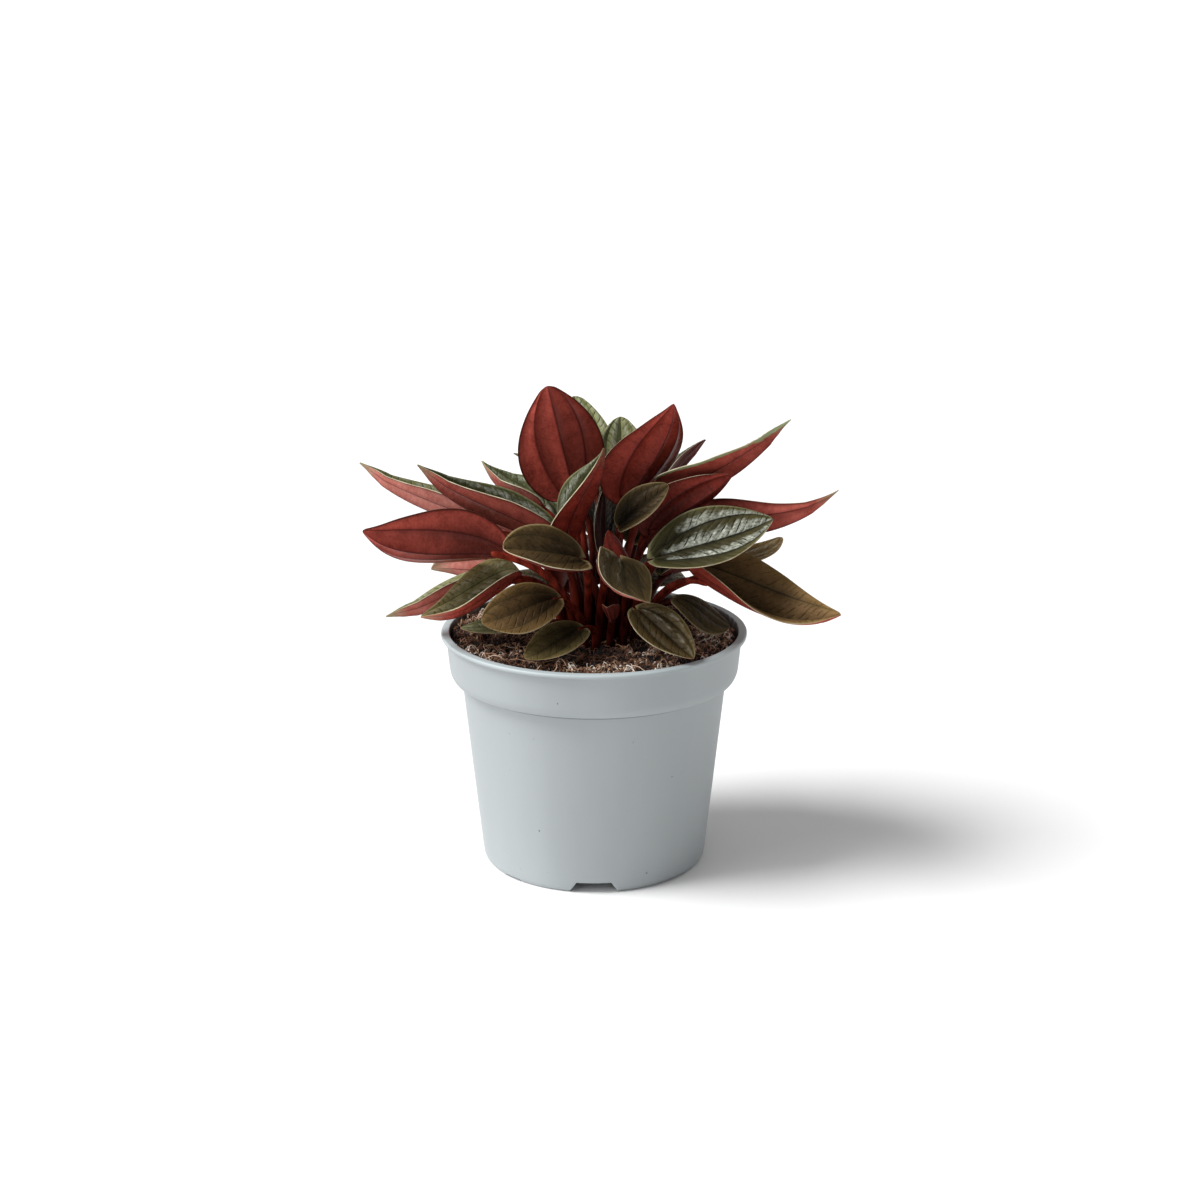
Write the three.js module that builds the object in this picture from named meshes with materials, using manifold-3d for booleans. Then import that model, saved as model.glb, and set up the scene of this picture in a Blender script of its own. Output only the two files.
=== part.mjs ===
// A ripple peperomia with lance-shaped leaves in a small injection-moulded nursery pot.
// Millimetres, +Z up. The origin is on the axis of the pot, where its feet stand; -Y is the front.
import * as THREE from "three";
import { mergeVertices } from "three/addons/utils/BufferGeometryUtils.js";
import Module from "manifold-3d";

const wasm = await Module();
wasm.setup();

// Pot: a 12 cm nursery pot with a thin lip, a deep collar and a notched foot ring.
const RIM_RADIUS = 60;
const POT_HEIGHT = 93.5;
const LIP_HEIGHT = 1.8;
const COLLAR_TOP_RADIUS = 58;
const COLLAR_FOOT_RADIUS = 56.6;
const COLLAR_FOOT_Z = 75;
const BODY_TOP_RADIUS = 52;
const BODY_FOOT_RADIUS = 44.5;
const FOOT_RADIUS = 43;
const FOOT_RING_WIDTH = 2.4;
const WALL = 1.4;
const FLOOR_UNDERSIDE_Z = 4.8;
const FLOOR_THICKNESS = 1.6;
const POT_SIDES = 42;

// Three deep notches in the foot let water run out, and two shallow slots part each of the feet between.
const NOTCH_COUNT = 3;
const NOTCH_HEIGHT = 4.4;
const NOTCH_TOP_WIDTH = 13;
const NOTCH_FOOT_WIDTH = 19.6;
const SLOT_TURN = 47;
const SLOT_HEIGHT = 0.9;
const SLOT_WIDTH = 10;
const DRAIN_HOLE_COUNT = 6;
const DRAIN_HOLE_RADIUS = 3.5;
const DRAIN_RING_RADIUS = 30;

// Soil: fills the pot to just under the lip, with a lumpy surface.
const SOIL_EDGE_Z = 91;
const SOIL_MOUND = 0.6;
const SOIL_LUMP = 0.8;
const GAP = 0.3;

// The crown: stalks stand in rings round a centre a little to the right of the pot's axis.
const CROWN_X = 4;
const CROWN_Y = 0;
const STALK_DEPTH = 8;
const STALK_STRAIGHT = 3;
const STALK_RADIUS = 1.6;
const STALK_TOP_RADIUS = 1.3;
const STALK_SIDES = 6;
const STALK_STEPS = 4;

// Blades.
const BLADE_THICKNESS = 1.1;
const RIDGE_HEIGHT = 1;
const OUTER_RIDGE = 0.6;
const BLADE_ROWS = [0, 0.08, 0.22, 0.4, 0.6, 0.78, 0.91];
const SMALL_ROWS = [0, 0.1, 0.28, 0.5, 0.73, 0.9];
const SMALL_WIDTH = 24.5;

// Columns across a blade: 0 is the midrib, 1 the side vein and 2 the margin of each half.
const BLADE_COLUMNS = [-2, -1.5, -1, -0.5, 0, 0.5, 1, 1.5, 2];
const SMALL_COLUMNS = [-2, -1, -0.5, 0, 0.5, 1, 2];
const VEIN_START = 0.42;
const VEIN_DRIFT = 0.4;
const CUP_END = 0.9;

// One row for each leaf: name, root [distance, direction in degrees] in the crown, blade base and tip
// [x, y, z], full width, fold of each half above flat and roll about the midrib in degrees,
// midrib arch [near base, near tip] in millimetres towards the upper face, how drawn out the tip is,
// and the base lobes' reach. Some rows end in how high the ridges stand and how many degrees more each
// half is cupped at the base, which fades out at CUP_END.
const LEAVES = [
  ["leaf_01", [6.2, 180], [-7.4, 11.3, 143.3], [-17.9, 4.4, 189], 35.5, 14, 119, [2, 0], [0.57, 0.92], 0.06, 1.5],
  ["leaf_02", [6.2, 90], [1, 22, 145.5], [-8, 38, 178.5], 21, 18, 0, [2, 1], [0.6, 0.85], 0.2],
  ["leaf_03", [6.2, 45], [11, 20.5, 144.5], [10.5, 31.5, 171.5], 23, 20, 0, [2, 1], [0.6, 0.95], 0.2],
  ["leaf_04", [6.2, -45], [12.3, -2, 145.6], [30.1, -13.2, 185.7], 35, 20, -34, [-1, -1.5, -1, -5.5], [0.7, 1.18], 0.19, 1.4],
  ["leaf_05", [11.6, 20], [23.5, 13.5, 139.7], [44, 24.5, 163.7], 19, 25, -30, [2, 1], [0.6, 0.9], 0.2],
  ["leaf_06", [6.2, 0], [25.9, -0.4, 149.1], [74.4, -12.5, 179.6], 35, 31, -13, [-13, -6, -1, 1.5], [0.58, 1.37], 0.13, 1.2],
  ["leaf_07", [11.6, -28], [21, -13.5, 134.8], [52, -19.5, 159.6], 24, 30, -45, [2, -2], [0.6, 0.9], 0.2, 1.2],
  ["leaf_08", [11.6, -4], [34, 2.8, 130.1], [92.3, -20.6, 154.2], 30, 37, -47, [-6, -15], [0.67, 1.41], 0.1, 1.2],
  ["leaf_09", [11.6, -52], [23.4, -26.1, 129.2], [67.5, -23.4, 143.6], 28.5, 19, 48, [1.5, 0, 1, 3.5], [0.78, 0.93], 0.24, 1.3],
  ["leaf_10", [17, -14], [38.5, -14.5, 119.5], [92.2, -42, 111.5], 36, 34, 29, [-4.5, -14.5, 4.5, 4.5], [0.47, 0.88], 0.22, 1, [0, 40]],
  ["leaf_11", [17, 3], [50, 10.5, 115.3], [75, 22, 124.5], 16, 12, 6, [0.5, -4.5, 0, 2.5], [0.65, 0.75], 0.15],
  ["leaf_12", [11.6, 92], [4, 24, 123], [3, 50, 138], 22, 25, 0, [3, 1], [0.6, 0.9], 0.2],
  ["leaf_13", [17, 163], [-29, 6, 130], [-92.5, 22, 155], 25, 42, 10, [-4, -9], [0.8, 1.1], 0.1],
  ["leaf_14", [11.6, 212], [-15.5, -10, 131.5], [-67, -12, 162], 30, 45, 0, [-3, -8], [0.6, 1.1], 0.1],
  ["leaf_15", [11.6, 188], [-19.8, 10, 140.2], [-44.3, 21, 156], 21, 42, 4, [-3.5, -7], [0.5, 1.1], 0.08],
  ["leaf_16", [11.6, 116], [-5, 21, 140], [-32, 30, 157], 12, 25, 20, [2, 0], [0.6, 0.9], 0.2],
  ["leaf_17", [17, 227], [-33.6, -23.2, 130.1], [-85.8, -37.4, 142.5], 33.5, 40, 68, [1, -2, 1, 10.5], [0.75, 1.01], 0.11, 1.2],
  ["leaf_18", [17, 147], [-35, 12, 112.5], [-65, 20, 112], 24, 20, 58, [3, 2], [0.6, 0.9], 0.2],
  ["leaf_19", [17, 179], [-34.8, 0.3, 114.9], [-80.2, -14.6, 102.6], 19.5, 42, 13, [0.5, -5.5], [0.69, 1.02], 0.2],
  ["leaf_20", [17, 195], [-28.3, -14.5, 119.5], [-65.6, -29, 106.7], 25, 47, -10, [-1.5, -8, -0.5, -4.5], [0.46, 0.83], 0.06],
  ["leaf_21", [11.6, 236], [-5.5, -30.9, 130.5], [-33.1, -49.7, 139.1], 25, 12, -39, [2.5, 1, -1, 0], [0.56, 0.72], 0.35, 0.6],
  ["leaf_22", [17, 243], [-14, -26.2, 113.4], [-41.5, -44, 108.9], 21, 6, -40, [5, 2, -0.5, -3], [0.76, 0.73], 0.3, 0.6],
  ["leaf_23", [17, 259], [-4.6, -26, 101.3], [-25.5, -47.2, 96], 16.5, 7, -22, [2.5, 0.5, 0, -2], [0.62, 0.73], 0.3, 0.6],
  ["leaf_24", [17, 211], [-27.4, -15.3, 98.2], [-51.2, -17.2, 98.8], 13, 7, -13, [2.5, 0, -0.5, -1], [0.59, 0.86], 0.2, 0.6],
  ["leaf_25", [6.2, -90], [-7.8, -10.9, 131], [3.8, -27.1, 171.8], 34, 39, 81, [1.5, -4, 0.5, 2], [0.52, 1.25], 0.1, 1.2],
  ["leaf_26", [11.6, -76], [9.8, -17, 139.2], [28.2, -22.1, 156.2], 16, 23, 60, [2, 0.5, -0.5, 2], [0.65, 0.73], 0.19],
  ["leaf_27", [0, 0], [4, -1, 124], [4, 1, 150], 16, 25, -90, [1, 1], [0.6, 0.9], 0.2],
  ["leaf_28", [17, -48], [14.2, -22.5, 123.6], [5.4, -24.3, 139.4], 12, 35, 90, [2, 0], [0.6, 0.9], 0.2],
  ["leaf_29", [11.6, -100], [10.5, -38.1, 131.5], [17.6, -54.8, 120.9], 28.5, -1, -28, [2.5, -6, 2.5, 3.5], [0.4, 0.68], 0.53, 0.6],
  ["leaf_30", [17, -65], [16.7, -24.4, 108.2], [37.2, -47.4, 96.1], 18.5, 10, 21, [2.5, 1.5, 0.5, 1.5], [0.69, 0.83], 0.31],
  ["leaf_31", [17, -31], [32.1, -14.4, 109.8], [52, -18.8, 99.3], 19, -5, 11, [3, -2, 0, 2.5], [0.67, 0.63], 0.26, 0.7],
  ["leaf_32", [17, -82], [7, -20, 103], [5, -28, 110], 9, 40, 0, [1, 1], [0.6, 0.9], 0.2],
  ["leaf_33", [17, 35], [30, 22, 122], [60, 44, 118], 24, 20, 0, [5, 2], [0.6, 0.85], 0.25],
  ["leaf_34", [17, 67], [15, 31, 123], [28, 57, 107], 26, 18, 0, [4, 3], [0.6, 0.85], 0.25],
  ["leaf_35", [17, 83], [-1, 31, 122], [-7, 58, 106], 25, 18, 0, [4, 3], [0.6, 0.85], 0.25],
  ["leaf_36", [17, 115], [-18, 24, 122], [-44, 46, 118], 25, 20, 0, [5, 2], [0.6, 0.85], 0.25],
  ["leaf_37", [17, 51], [17, 29, 104], [38, 56, 98], 22, 18, 28, [4, 2], [0.6, 0.8], 0.3],
  ["leaf_38", [17, 99], [-7, 29, 112.5], [-13, 47, 95], 29, 18, 40, [4, 2], [0.6, 0.8], 0.3],
  ["leaf_39", [17, 131], [-19, 25, 104], [-48, 46, 97], 18, 18, 0, [4, 2], [0.6, 0.8], 0.3],
  ["leaf_40", [17, 19], [28, 19, 110.5], [57, 38, 105.5], 20, 18, -15, [4, 2], [0.6, 0.8], 0.3],
  ["leaf_41", [11.6, 44], [16, 20, 124], [32, 36, 150], 23, 25, 0, [3, 1], [0.6, 0.9], 0.2],
  ["leaf_42", [11.6, 140], [-14, 16, 127], [-36, 40, 141], 25, 25, 0, [3, 1], [0.6, 0.9], 0.2],
];

const vector = (p) => new THREE.Vector3(p[0], p[1], p[2]);
const radians = THREE.MathUtils.degToRad;

// A closed mesh with merged corners becomes a solid that can be joined and cut.
function solidOf(geometry) {
  const bare = geometry.clone();
  bare.deleteAttribute("normal");
  bare.deleteAttribute("uv");
  const merged = mergeVertices(bare, 1e-3);
  const mesh = new wasm.Mesh({
    numProp: 3,
    vertProperties: new Float32Array(merged.attributes.position.array),
    triVerts: new Uint32Array(merged.index.array),
  });
  return new wasm.Manifold(mesh);
}

function geometryOf(solid) {
  const { vertProperties, triVerts } = solid.getMesh();
  const geometry = new THREE.BufferGeometry();
  geometry.setAttribute("position", new THREE.BufferAttribute(vertProperties, 3));
  geometry.setIndex(new THREE.BufferAttribute(triVerts, 1));
  return geometry;
}

// Joins rings of points, each as long as the next, into one closed surface. The first and last rings
// are closed by a fan to their middle. flipDiagonal says which way a quad is split.
function loft(rings, flipDiagonal = () => false) {
  const count = rings[0].length;
  const points = rings.flat();
  const faces = [];
  for (let row = 0; row + 1 < rings.length; row++) {
    for (let column = 0; column < count; column++) {
      const next = (column + 1) % count;
      const [a, b] = [row * count + column, row * count + next];
      const [c, d] = [a + count, b + count];
      if (flipDiagonal(column)) faces.push(a, b, c, b, d, c);
      else faces.push(a, b, d, a, d, c);
    }
  }
  for (const [row, turned] of [[0, true], [rings.length - 1, false]]) {
    const middle = new THREE.Vector3();
    for (const point of rings[row]) middle.addScaledVector(point, 1 / count);
    const hub = points.push(middle) - 1;
    for (let column = 0; column < count; column++) {
      const [a, b] = [row * count + column, row * count + ((column + 1) % count)];
      if (turned) faces.push(b, a, hub);
      else faces.push(a, b, hub);
    }
  }
  const geometry = new THREE.BufferGeometry().setFromPoints(points);
  geometry.setIndex(faces);
  return geometry;
}

// Half width at t as a share of the widest: round at the base, drawn out towards the tip.
function outline(t, [rise, tail]) {
  const start = 0.035;
  const at = (x) => (x + start) ** rise * (1 - x) ** tail;
  return at(t) / at((rise - tail * start) / (rise + tail));
}

// Height of the ridges between the veins, 0 on a vein and at the margin, 1 between them.
function ripple(column) {
  return Math.sin(Math.PI * column) ** 2 * (Math.abs(column) > 1 ? OUTER_RIDGE : 1);
}

// Where a column lies, as a share of the half width. The side vein drifts to the margin towards the tip.
function shareAcross(column, t) {
  const vein = VEIN_START + VEIN_DRIFT * t ** 1.5;
  const side = Math.abs(column);
  return side <= 1 ? side * vein : vein + (side - 1) * (1 - vein);
}

// The axes of a leaf: along its chord, to its side and out of its upper face.
function leafAxes([, [rootReach, rootTurn], base, tip, , , roll]) {
  const [from, to] = [vector(base), vector(tip)];
  const along = to.clone().sub(from).normalize();
  const turn = radians(rootTurn);
  const root = new THREE.Vector3(
    CROWN_X + rootReach * Math.cos(turn),
    CROWN_Y + rootReach * Math.sin(turn),
    SOIL_EDGE_Z,
  );
  const outward = to.clone().sub(root).setZ(0).normalize();
  const level = Math.sqrt(Math.max(0, 1 - along.z * along.z));
  const upper = outward.multiplyScalar(-along.z).add(new THREE.Vector3(0, 0, level));
  upper.addScaledVector(along, -upper.dot(along)).normalize();
  upper.applyAxisAngle(along, radians(roll));
  const side = new THREE.Vector3().crossVectors(along, upper);
  return { from, to, root, along, side, upper };
}

function midrib({ from, to, along, side, upper }, [nearBase, nearTip, baseSweep = 0, tipSweep = 0]) {
  const third = from.distanceTo(to) / 3;
  const first = from.clone().addScaledVector(along, third);
  const second = to.clone().addScaledVector(along, -third);
  first.addScaledVector(upper, nearBase).addScaledVector(side, baseSweep);
  second.addScaledVector(upper, nearTip).addScaledVector(side, tipSweep);
  return new THREE.CubicBezierCurve3(from, first, second, to);
}

// A blade is a loft of flat closed sections, each the upper face from margin to margin and back below.
function blade(leaf, axes, curve) {
  const [, , , , width, fold, , , shape, lobe, ribs = 1, cup = [0, 0]] = leaf;
  const thickness = BLADE_THICKNESS / Math.cos(radians(fold));
  const small = width < SMALL_WIDTH;
  const list = small ? SMALL_COLUMNS : BLADE_COLUMNS;
  const section = (t) => {
    const middle = curve.getPoint(t);
    const along = curve.getTangent(t);
    const upper = new THREE.Vector3().crossVectors(axes.side, along).normalize();
    const half = (width / 2) * outline(t, shape);
    const point = (column, below) => {
      const across = shareAcross(column, t);
      const reach = across * half;
      const cupped = cup[column < 0 ? 0 : 1] * Math.max(0, 1 - t / CUP_END);
      const lean = radians(fold + cupped);
      const ridge = RIDGE_HEIGHT * ribs * Math.min(1, half / 8) * ripple(column);
      const back = lobe * (width / 2) * across * across * (1 - t) ** 5;
      return middle
        .clone()
        .addScaledVector(axes.side, Math.sign(column) * reach * Math.cos(lean))
        .addScaledVector(upper, reach * Math.sin(lean) + ridge - below)
        .addScaledVector(along, -back);
    };
    return [
      ...list.map((column) => point(column, 0)),
      ...[...list].reverse().map((column) => point(column, thickness)),
    ];
  };
  const rings = (small ? SMALL_ROWS : BLADE_ROWS).map(section);
  const tip = curve.getPoint(1).addScaledVector(axes.upper, -thickness / 2);
  const last = rings[rings.length - 1].map(() => tip.clone());
  const lastColumn = list.length - 1;
  const flip = (column) => {
    const lower = column > lastColumn;
    const across = lower ? 2 * lastColumn - column : column;
    return lower ? across >= lastColumn / 2 : across < lastColumn / 2;
  };
  return solidOf(dropThin(loft([...rings, last], flip)));
}

// Leaves out the faces that collapse where a ring shrinks to a point.
function dropThin(geometry) {
  const merged = mergeVertices(geometry, 1e-3);
  const index = [...merged.index.array];
  const kept = [];
  for (let i = 0; i < index.length; i += 3) {
    const [a, b, c] = index.slice(i, i + 3);
    if (a !== b && b !== c && c !== a) kept.push(a, b, c);
  }
  merged.setIndex(kept);
  return merged;
}

// The stalk rises straight out of the soil, then bends over to meet the midrib.
function stalk({ root, from, along, upper }, curve) {
  const start = root.clone().setZ(SOIL_EDGE_Z + STALK_STRAIGHT);
  const end = curve.getPoint(0.1).addScaledVector(upper, -BLADE_THICKNESS * 0.8);
  const reach = start.distanceTo(end);
  const bend = new THREE.CubicBezierCurve3(
    start,
    start.clone().add(new THREE.Vector3(0, 0, reach * 0.45)),
    end.clone().addScaledVector(curve.getTangent(0), -reach * 0.3),
    end,
  );
  const ring = (centre, direction, radius) => {
    const east = new THREE.Vector3(1, 0, 0);
    east.addScaledVector(direction, -east.dot(direction)).normalize();
    const north = new THREE.Vector3().crossVectors(direction, east);
    return Array.from({ length: STALK_SIDES }, (_, i) => {
      const angle = (2 * Math.PI * i) / STALK_SIDES;
      return centre
        .clone()
        .addScaledVector(east, radius * Math.cos(angle))
        .addScaledVector(north, radius * Math.sin(angle));
    });
  };
  const up = new THREE.Vector3(0, 0, 1);
  const rings = [ring(root.clone().setZ(SOIL_EDGE_Z - STALK_DEPTH), up, STALK_RADIUS)];
  for (let i = 0; i <= STALK_STEPS; i++) {
    const t = i / STALK_STEPS;
    const radius = STALK_RADIUS + (STALK_TOP_RADIUS - STALK_RADIUS) * t;
    rings.push(ring(bend.getPoint(t), bend.getTangent(t), radius * (i === STALK_STEPS ? 0.6 : 1)));
  }
  return solidOf(loft(rings));
}

function leafSolid(leaf) {
  const axes = leafAxes(leaf);
  const curve = midrib(axes, leaf[7]);
  return blade(leaf, axes, curve).add(stalk(axes, curve));
}

// The inside of the pot from the floor up, as [radius, height].
const POT_INSIDE = [
  [BODY_FOOT_RADIUS - WALL, FLOOR_UNDERSIDE_Z + FLOOR_THICKNESS],
  [BODY_TOP_RADIUS - WALL, COLLAR_FOOT_Z - 1],
  [COLLAR_FOOT_RADIUS - WALL, COLLAR_FOOT_Z + 3],
  [COLLAR_TOP_RADIUS - WALL, POT_HEIGHT - 0.8],
];

// Turns a closed section round the axis.
function turn(section) {
  const points = section.map(([r, z]) => new THREE.Vector2(r, z));
  return dropThin(new THREE.LatheGeometry(points, POT_SIDES).rotateX(Math.PI / 2));
}

function potSolid() {
  const ringInside = FOOT_RADIUS - FOOT_RING_WIDTH;
  const section = [
    [0, FLOOR_UNDERSIDE_Z],
    [ringInside - 0.6, FLOOR_UNDERSIDE_Z],
    [ringInside, 0],
    [FOOT_RADIUS, 0],
    [BODY_FOOT_RADIUS - 0.5, 1.4],
    [BODY_FOOT_RADIUS, 4],
    [BODY_TOP_RADIUS, COLLAR_FOOT_Z - 1],
    [COLLAR_FOOT_RADIUS - 2.4, COLLAR_FOOT_Z - 0.3],
    [COLLAR_FOOT_RADIUS - 0.8, COLLAR_FOOT_Z + 0.7],
    [COLLAR_FOOT_RADIUS, COLLAR_FOOT_Z + 3],
    [COLLAR_TOP_RADIUS, POT_HEIGHT - LIP_HEIGHT],
    [RIM_RADIUS - 0.5, POT_HEIGHT - LIP_HEIGHT + 0.2],
    [RIM_RADIUS, POT_HEIGHT - LIP_HEIGHT / 2],
    [RIM_RADIUS - 0.7, POT_HEIGHT],
    [COLLAR_TOP_RADIUS - 0.7, POT_HEIGHT],
    ...[...POT_INSIDE].reverse(),
    [0, FLOOR_UNDERSIDE_Z + FLOOR_THICKNESS],
  ];
  let pot = solidOf(turn(section));
  const cut = (outline, degrees) => {
    const shape = new THREE.Shape(outline.map(([x, z]) => new THREE.Vector2(x, z)));
    const tool = new THREE.ExtrudeGeometry(shape, { depth: 12, bevelEnabled: false });
    tool.rotateX(Math.PI / 2).translate(0, 8 - FOOT_RADIUS, 0).rotateZ(radians(degrees));
    pot = pot.subtract(solidOf(tool));
  };
  const [foot, top, slot] = [NOTCH_FOOT_WIDTH / 2, NOTCH_TOP_WIDTH / 2, SLOT_WIDTH / 2];
  const right = [[foot, -1], [foot - 1, 0.9], [top, NOTCH_HEIGHT]];
  const notch = [...right, ...right.map(([x, z]) => [-x, z]).reverse()];
  const shallow = [[-slot, -1], [slot, -1], [slot - 1.5, SLOT_HEIGHT], [1.5 - slot, SLOT_HEIGHT]];
  for (let i = 0; i < NOTCH_COUNT; i++) {
    const degrees = (360 * i) / NOTCH_COUNT;
    cut(notch, degrees);
    cut(shallow, degrees - SLOT_TURN);
    cut(shallow, degrees + SLOT_TURN);
  }
  for (let i = 0; i < DRAIN_HOLE_COUNT; i++) {
    const hole = new THREE.CylinderGeometry(DRAIN_HOLE_RADIUS, DRAIN_HOLE_RADIUS, 10, 12);
    hole.rotateX(Math.PI / 2).translate(0, -DRAIN_RING_RADIUS, FLOOR_UNDERSIDE_Z);
    hole.rotateZ((2 * Math.PI * i) / DRAIN_HOLE_COUNT);
    pot = pot.subtract(solidOf(hole));
  }
  return pot;
}

// Height of the soil's surface above its edge: a low mound with lumps.
function soilHeight(x, y) {
  const reach = Math.hypot(x, y);
  const mound = SOIL_MOUND * Math.max(0, 1 - (reach / 50) ** 2);
  const across = Math.sin(x * 0.37 + 1.3 * Math.sin(y * 0.21));
  const along = Math.cos(y * 0.41 + 0.9 * Math.sin(x * 0.17));
  return mound + SOIL_LUMP * across * along;
}

function soilSolid(leaves) {
  const clear = GAP + 0.05;
  const [floor, shoulder, step, lip] = POT_INSIDE;
  const slope = (lip[0] - step[0]) / (lip[1] - step[1]);
  const top = step[0] + slope * (SOIL_EDGE_Z - step[1]) - clear;
  const section = [
    [0, floor[1] + GAP],
    [floor[0] - clear, floor[1] + GAP],
    [shoulder[0] - clear, shoulder[1]],
    [step[0] - clear, step[1] + 0.3],
    [top, SOIL_EDGE_Z - 1],
    [top - 3, SOIL_EDGE_Z],
    [42, SOIL_EDGE_Z],
    [31, SOIL_EDGE_Z],
    [20, SOIL_EDGE_Z],
    [0, SOIL_EDGE_Z],
  ];
  const turned = turn(section);
  const position = turned.attributes.position;
  for (let i = 0; i < position.count; i++) {
    if (position.getZ(i) < SOIL_EDGE_Z - 0.5) continue;
    position.setZ(i, SOIL_EDGE_Z + soilHeight(position.getX(i), position.getY(i)));
  }
  let soil = solidOf(turned);
  const socket = (STALK_RADIUS + GAP) / Math.cos(Math.PI / STALK_SIDES);
  const tall = STALK_DEPTH + GAP + 10;
  for (const leaf of leaves) {
    const { root } = leafAxes(leaf);
    const hole = new THREE.CylinderGeometry(socket, socket, tall, STALK_SIDES, 1);
    hole.rotateX(Math.PI / 2).rotateZ(Math.PI / 6);
    hole.translate(root.x, root.y, SOIL_EDGE_Z - STALK_DEPTH - GAP + tall / 2);
    soil = soil.subtract(solidOf(hole));
  }
  return soil;
}

const plastic = new THREE.MeshStandardMaterial({ color: 0xafbcc1, roughness: 0.5, metalness: 0 });
const peat = new THREE.MeshStandardMaterial({ color: 0x3a2518, roughness: 0.95, metalness: 0 });
const foliage = new THREE.MeshStandardMaterial({ color: 0x8a3a34, roughness: 0.45, metalness: 0 });

const plant = new THREE.Group();
function place(name, solid, material) {
  const mesh = new THREE.Mesh(geometryOf(solid), material);
  mesh.name = name;
  plant.add(mesh);
}

place("pot", potSolid(), plastic);
place("soil", soilSolid(LEAVES), peat);
for (const leaf of LEAVES) place(leaf[0], leafSolid(leaf), foliage);

export default plant;
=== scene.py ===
# %% [markdown]
# # A ripple peperomia in its nursery pot
# The plant comes in as a frame of plain solids: a pot, its soil and forty-two leaves. This lesson gives each of
# them the surface that the real thing has. Everything is in metres once it is in Blender, but plants and pots are
# easier to think about in millimetres, so the sums are done in millimetres and turned into metres at the end.

# %% Load the frame
import math
from itertools import combinations

import bpy
import numpy as np
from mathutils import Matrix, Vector


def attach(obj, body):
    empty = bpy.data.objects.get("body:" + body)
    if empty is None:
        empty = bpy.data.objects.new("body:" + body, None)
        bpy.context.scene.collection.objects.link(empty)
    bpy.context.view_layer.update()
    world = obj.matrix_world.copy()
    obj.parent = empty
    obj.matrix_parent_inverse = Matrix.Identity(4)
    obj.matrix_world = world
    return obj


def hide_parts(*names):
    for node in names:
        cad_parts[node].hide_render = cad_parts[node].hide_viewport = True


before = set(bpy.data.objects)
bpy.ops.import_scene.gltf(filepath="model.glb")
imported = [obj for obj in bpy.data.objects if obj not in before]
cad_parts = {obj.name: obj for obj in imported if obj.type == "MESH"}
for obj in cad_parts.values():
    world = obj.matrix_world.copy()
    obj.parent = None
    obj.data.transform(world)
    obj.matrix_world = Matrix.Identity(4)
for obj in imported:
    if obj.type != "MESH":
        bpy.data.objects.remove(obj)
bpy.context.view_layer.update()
MM = 0.001

# %% [markdown]
# ## Camera
# The camera comes first, because it says how much detail will be seen. A long lens from a little under a metre away
# keeps the rim of the pot a calm ellipse. It looks down by 16 degrees, as a person does at a plant on a table.

# %% Camera
AIM = Vector((2.35, 0.0, 105.0)) * MM
DISTANCE = 0.9
LOOK_DOWN = math.radians(16.3)
SENSOR = 36.0
FOCAL_PIXELS, FRAME_PIXELS = 2301, 1200  # the distance to the lens and the width of the frame, in pixels
FOCAL_LENGTH = SENSOR * FOCAL_PIXELS / FRAME_PIXELS

camera_data = bpy.data.cameras.new("studio_camera")
camera_data.sensor_width = SENSOR
camera_data.lens = FOCAL_LENGTH
camera_data.clip_start = 0.05
camera_data.clip_end = 400  # past the far edge of the floor
camera = bpy.data.objects.new("studio_camera", camera_data)
camera.location = AIM + DISTANCE * Vector((0, -math.cos(LOOK_DOWN), math.sin(LOOK_DOWN)))
camera.rotation_euler = (math.pi / 2 - LOOK_DOWN, 0, 0)
bpy.context.scene.collection.objects.link(camera)
bpy.context.scene.camera = camera
print("lens", round(FOCAL_LENGTH, 2), "mm, camera at", [round(x, 3) for x in camera.location])

# %% [markdown]
# ## Colours and nodes
# Colours are picked as sRGB hex values, the way a paint chart gives them. Shaders work in linear light, so one
# function turns the one into the other. Materials are made of nodes, and one function adds any node: its settings by
# name, and its sockets by name or number, each with a value, a hex colour or the output that feeds it.


# %% Colour and node helpers
def linear(code):
    """sRGB hex value to linear: c / 12.92 below 0.04045, else ((c + 0.055) / 1.055) to the power 2.4."""
    parts = np.array([int(code[i : i + 2], 16) for i in (1, 3, 5)]) / 255
    value = np.where(parts <= 0.04045, parts / 12.92, ((parts + 0.055) / 1.055) ** 2.4)
    return (*[float(v) for v in value], 1.0)


def feed(tree, node, sockets):
    """Sets inputs of a node. Each takes a value, a hex colour or the output that feeds it."""
    for name, value in sockets.items():
        if isinstance(value, bpy.types.NodeSocket):
            tree.links.new(value, node.inputs[name])
        else:
            node.inputs[name].default_value = linear(value) if isinstance(value, str) else value


def add(tree, kind, sockets, out=0, **settings):
    """Adds a node with its settings and inputs, and gives one of its outputs."""
    made = tree.nodes.new("ShaderNode" + kind)
    for name, value in settings.items():
        setattr(made, name, value)
    feed(tree, made, sockets)
    return made.outputs[out]


def material(name):
    """An empty node material with its Principled shader, ready for links."""
    made = bpy.data.materials.new(name)
    made.use_nodes = True
    tree = made.node_tree
    return made, tree, tree.nodes["Principled BSDF"]


print("pale grey-blue in linear light:", [round(v, 3) for v in linear("#B4C1C5")])

# %% [markdown]
# ## Floor and light
# A product table is a white sheet under one large soft light. The light stands to the left and a little in front, so
# the pot is brightest at its left and its shadow falls softly to the right. A lower light from the same side
# reaches under the leaves, a faint one from behind lifts the right edge, and white surroundings fill the rest.


# %% Floor, lights and surroundings
FLOOR_SIZE = 200.0  # metres, so that its far edge is never seen


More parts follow.
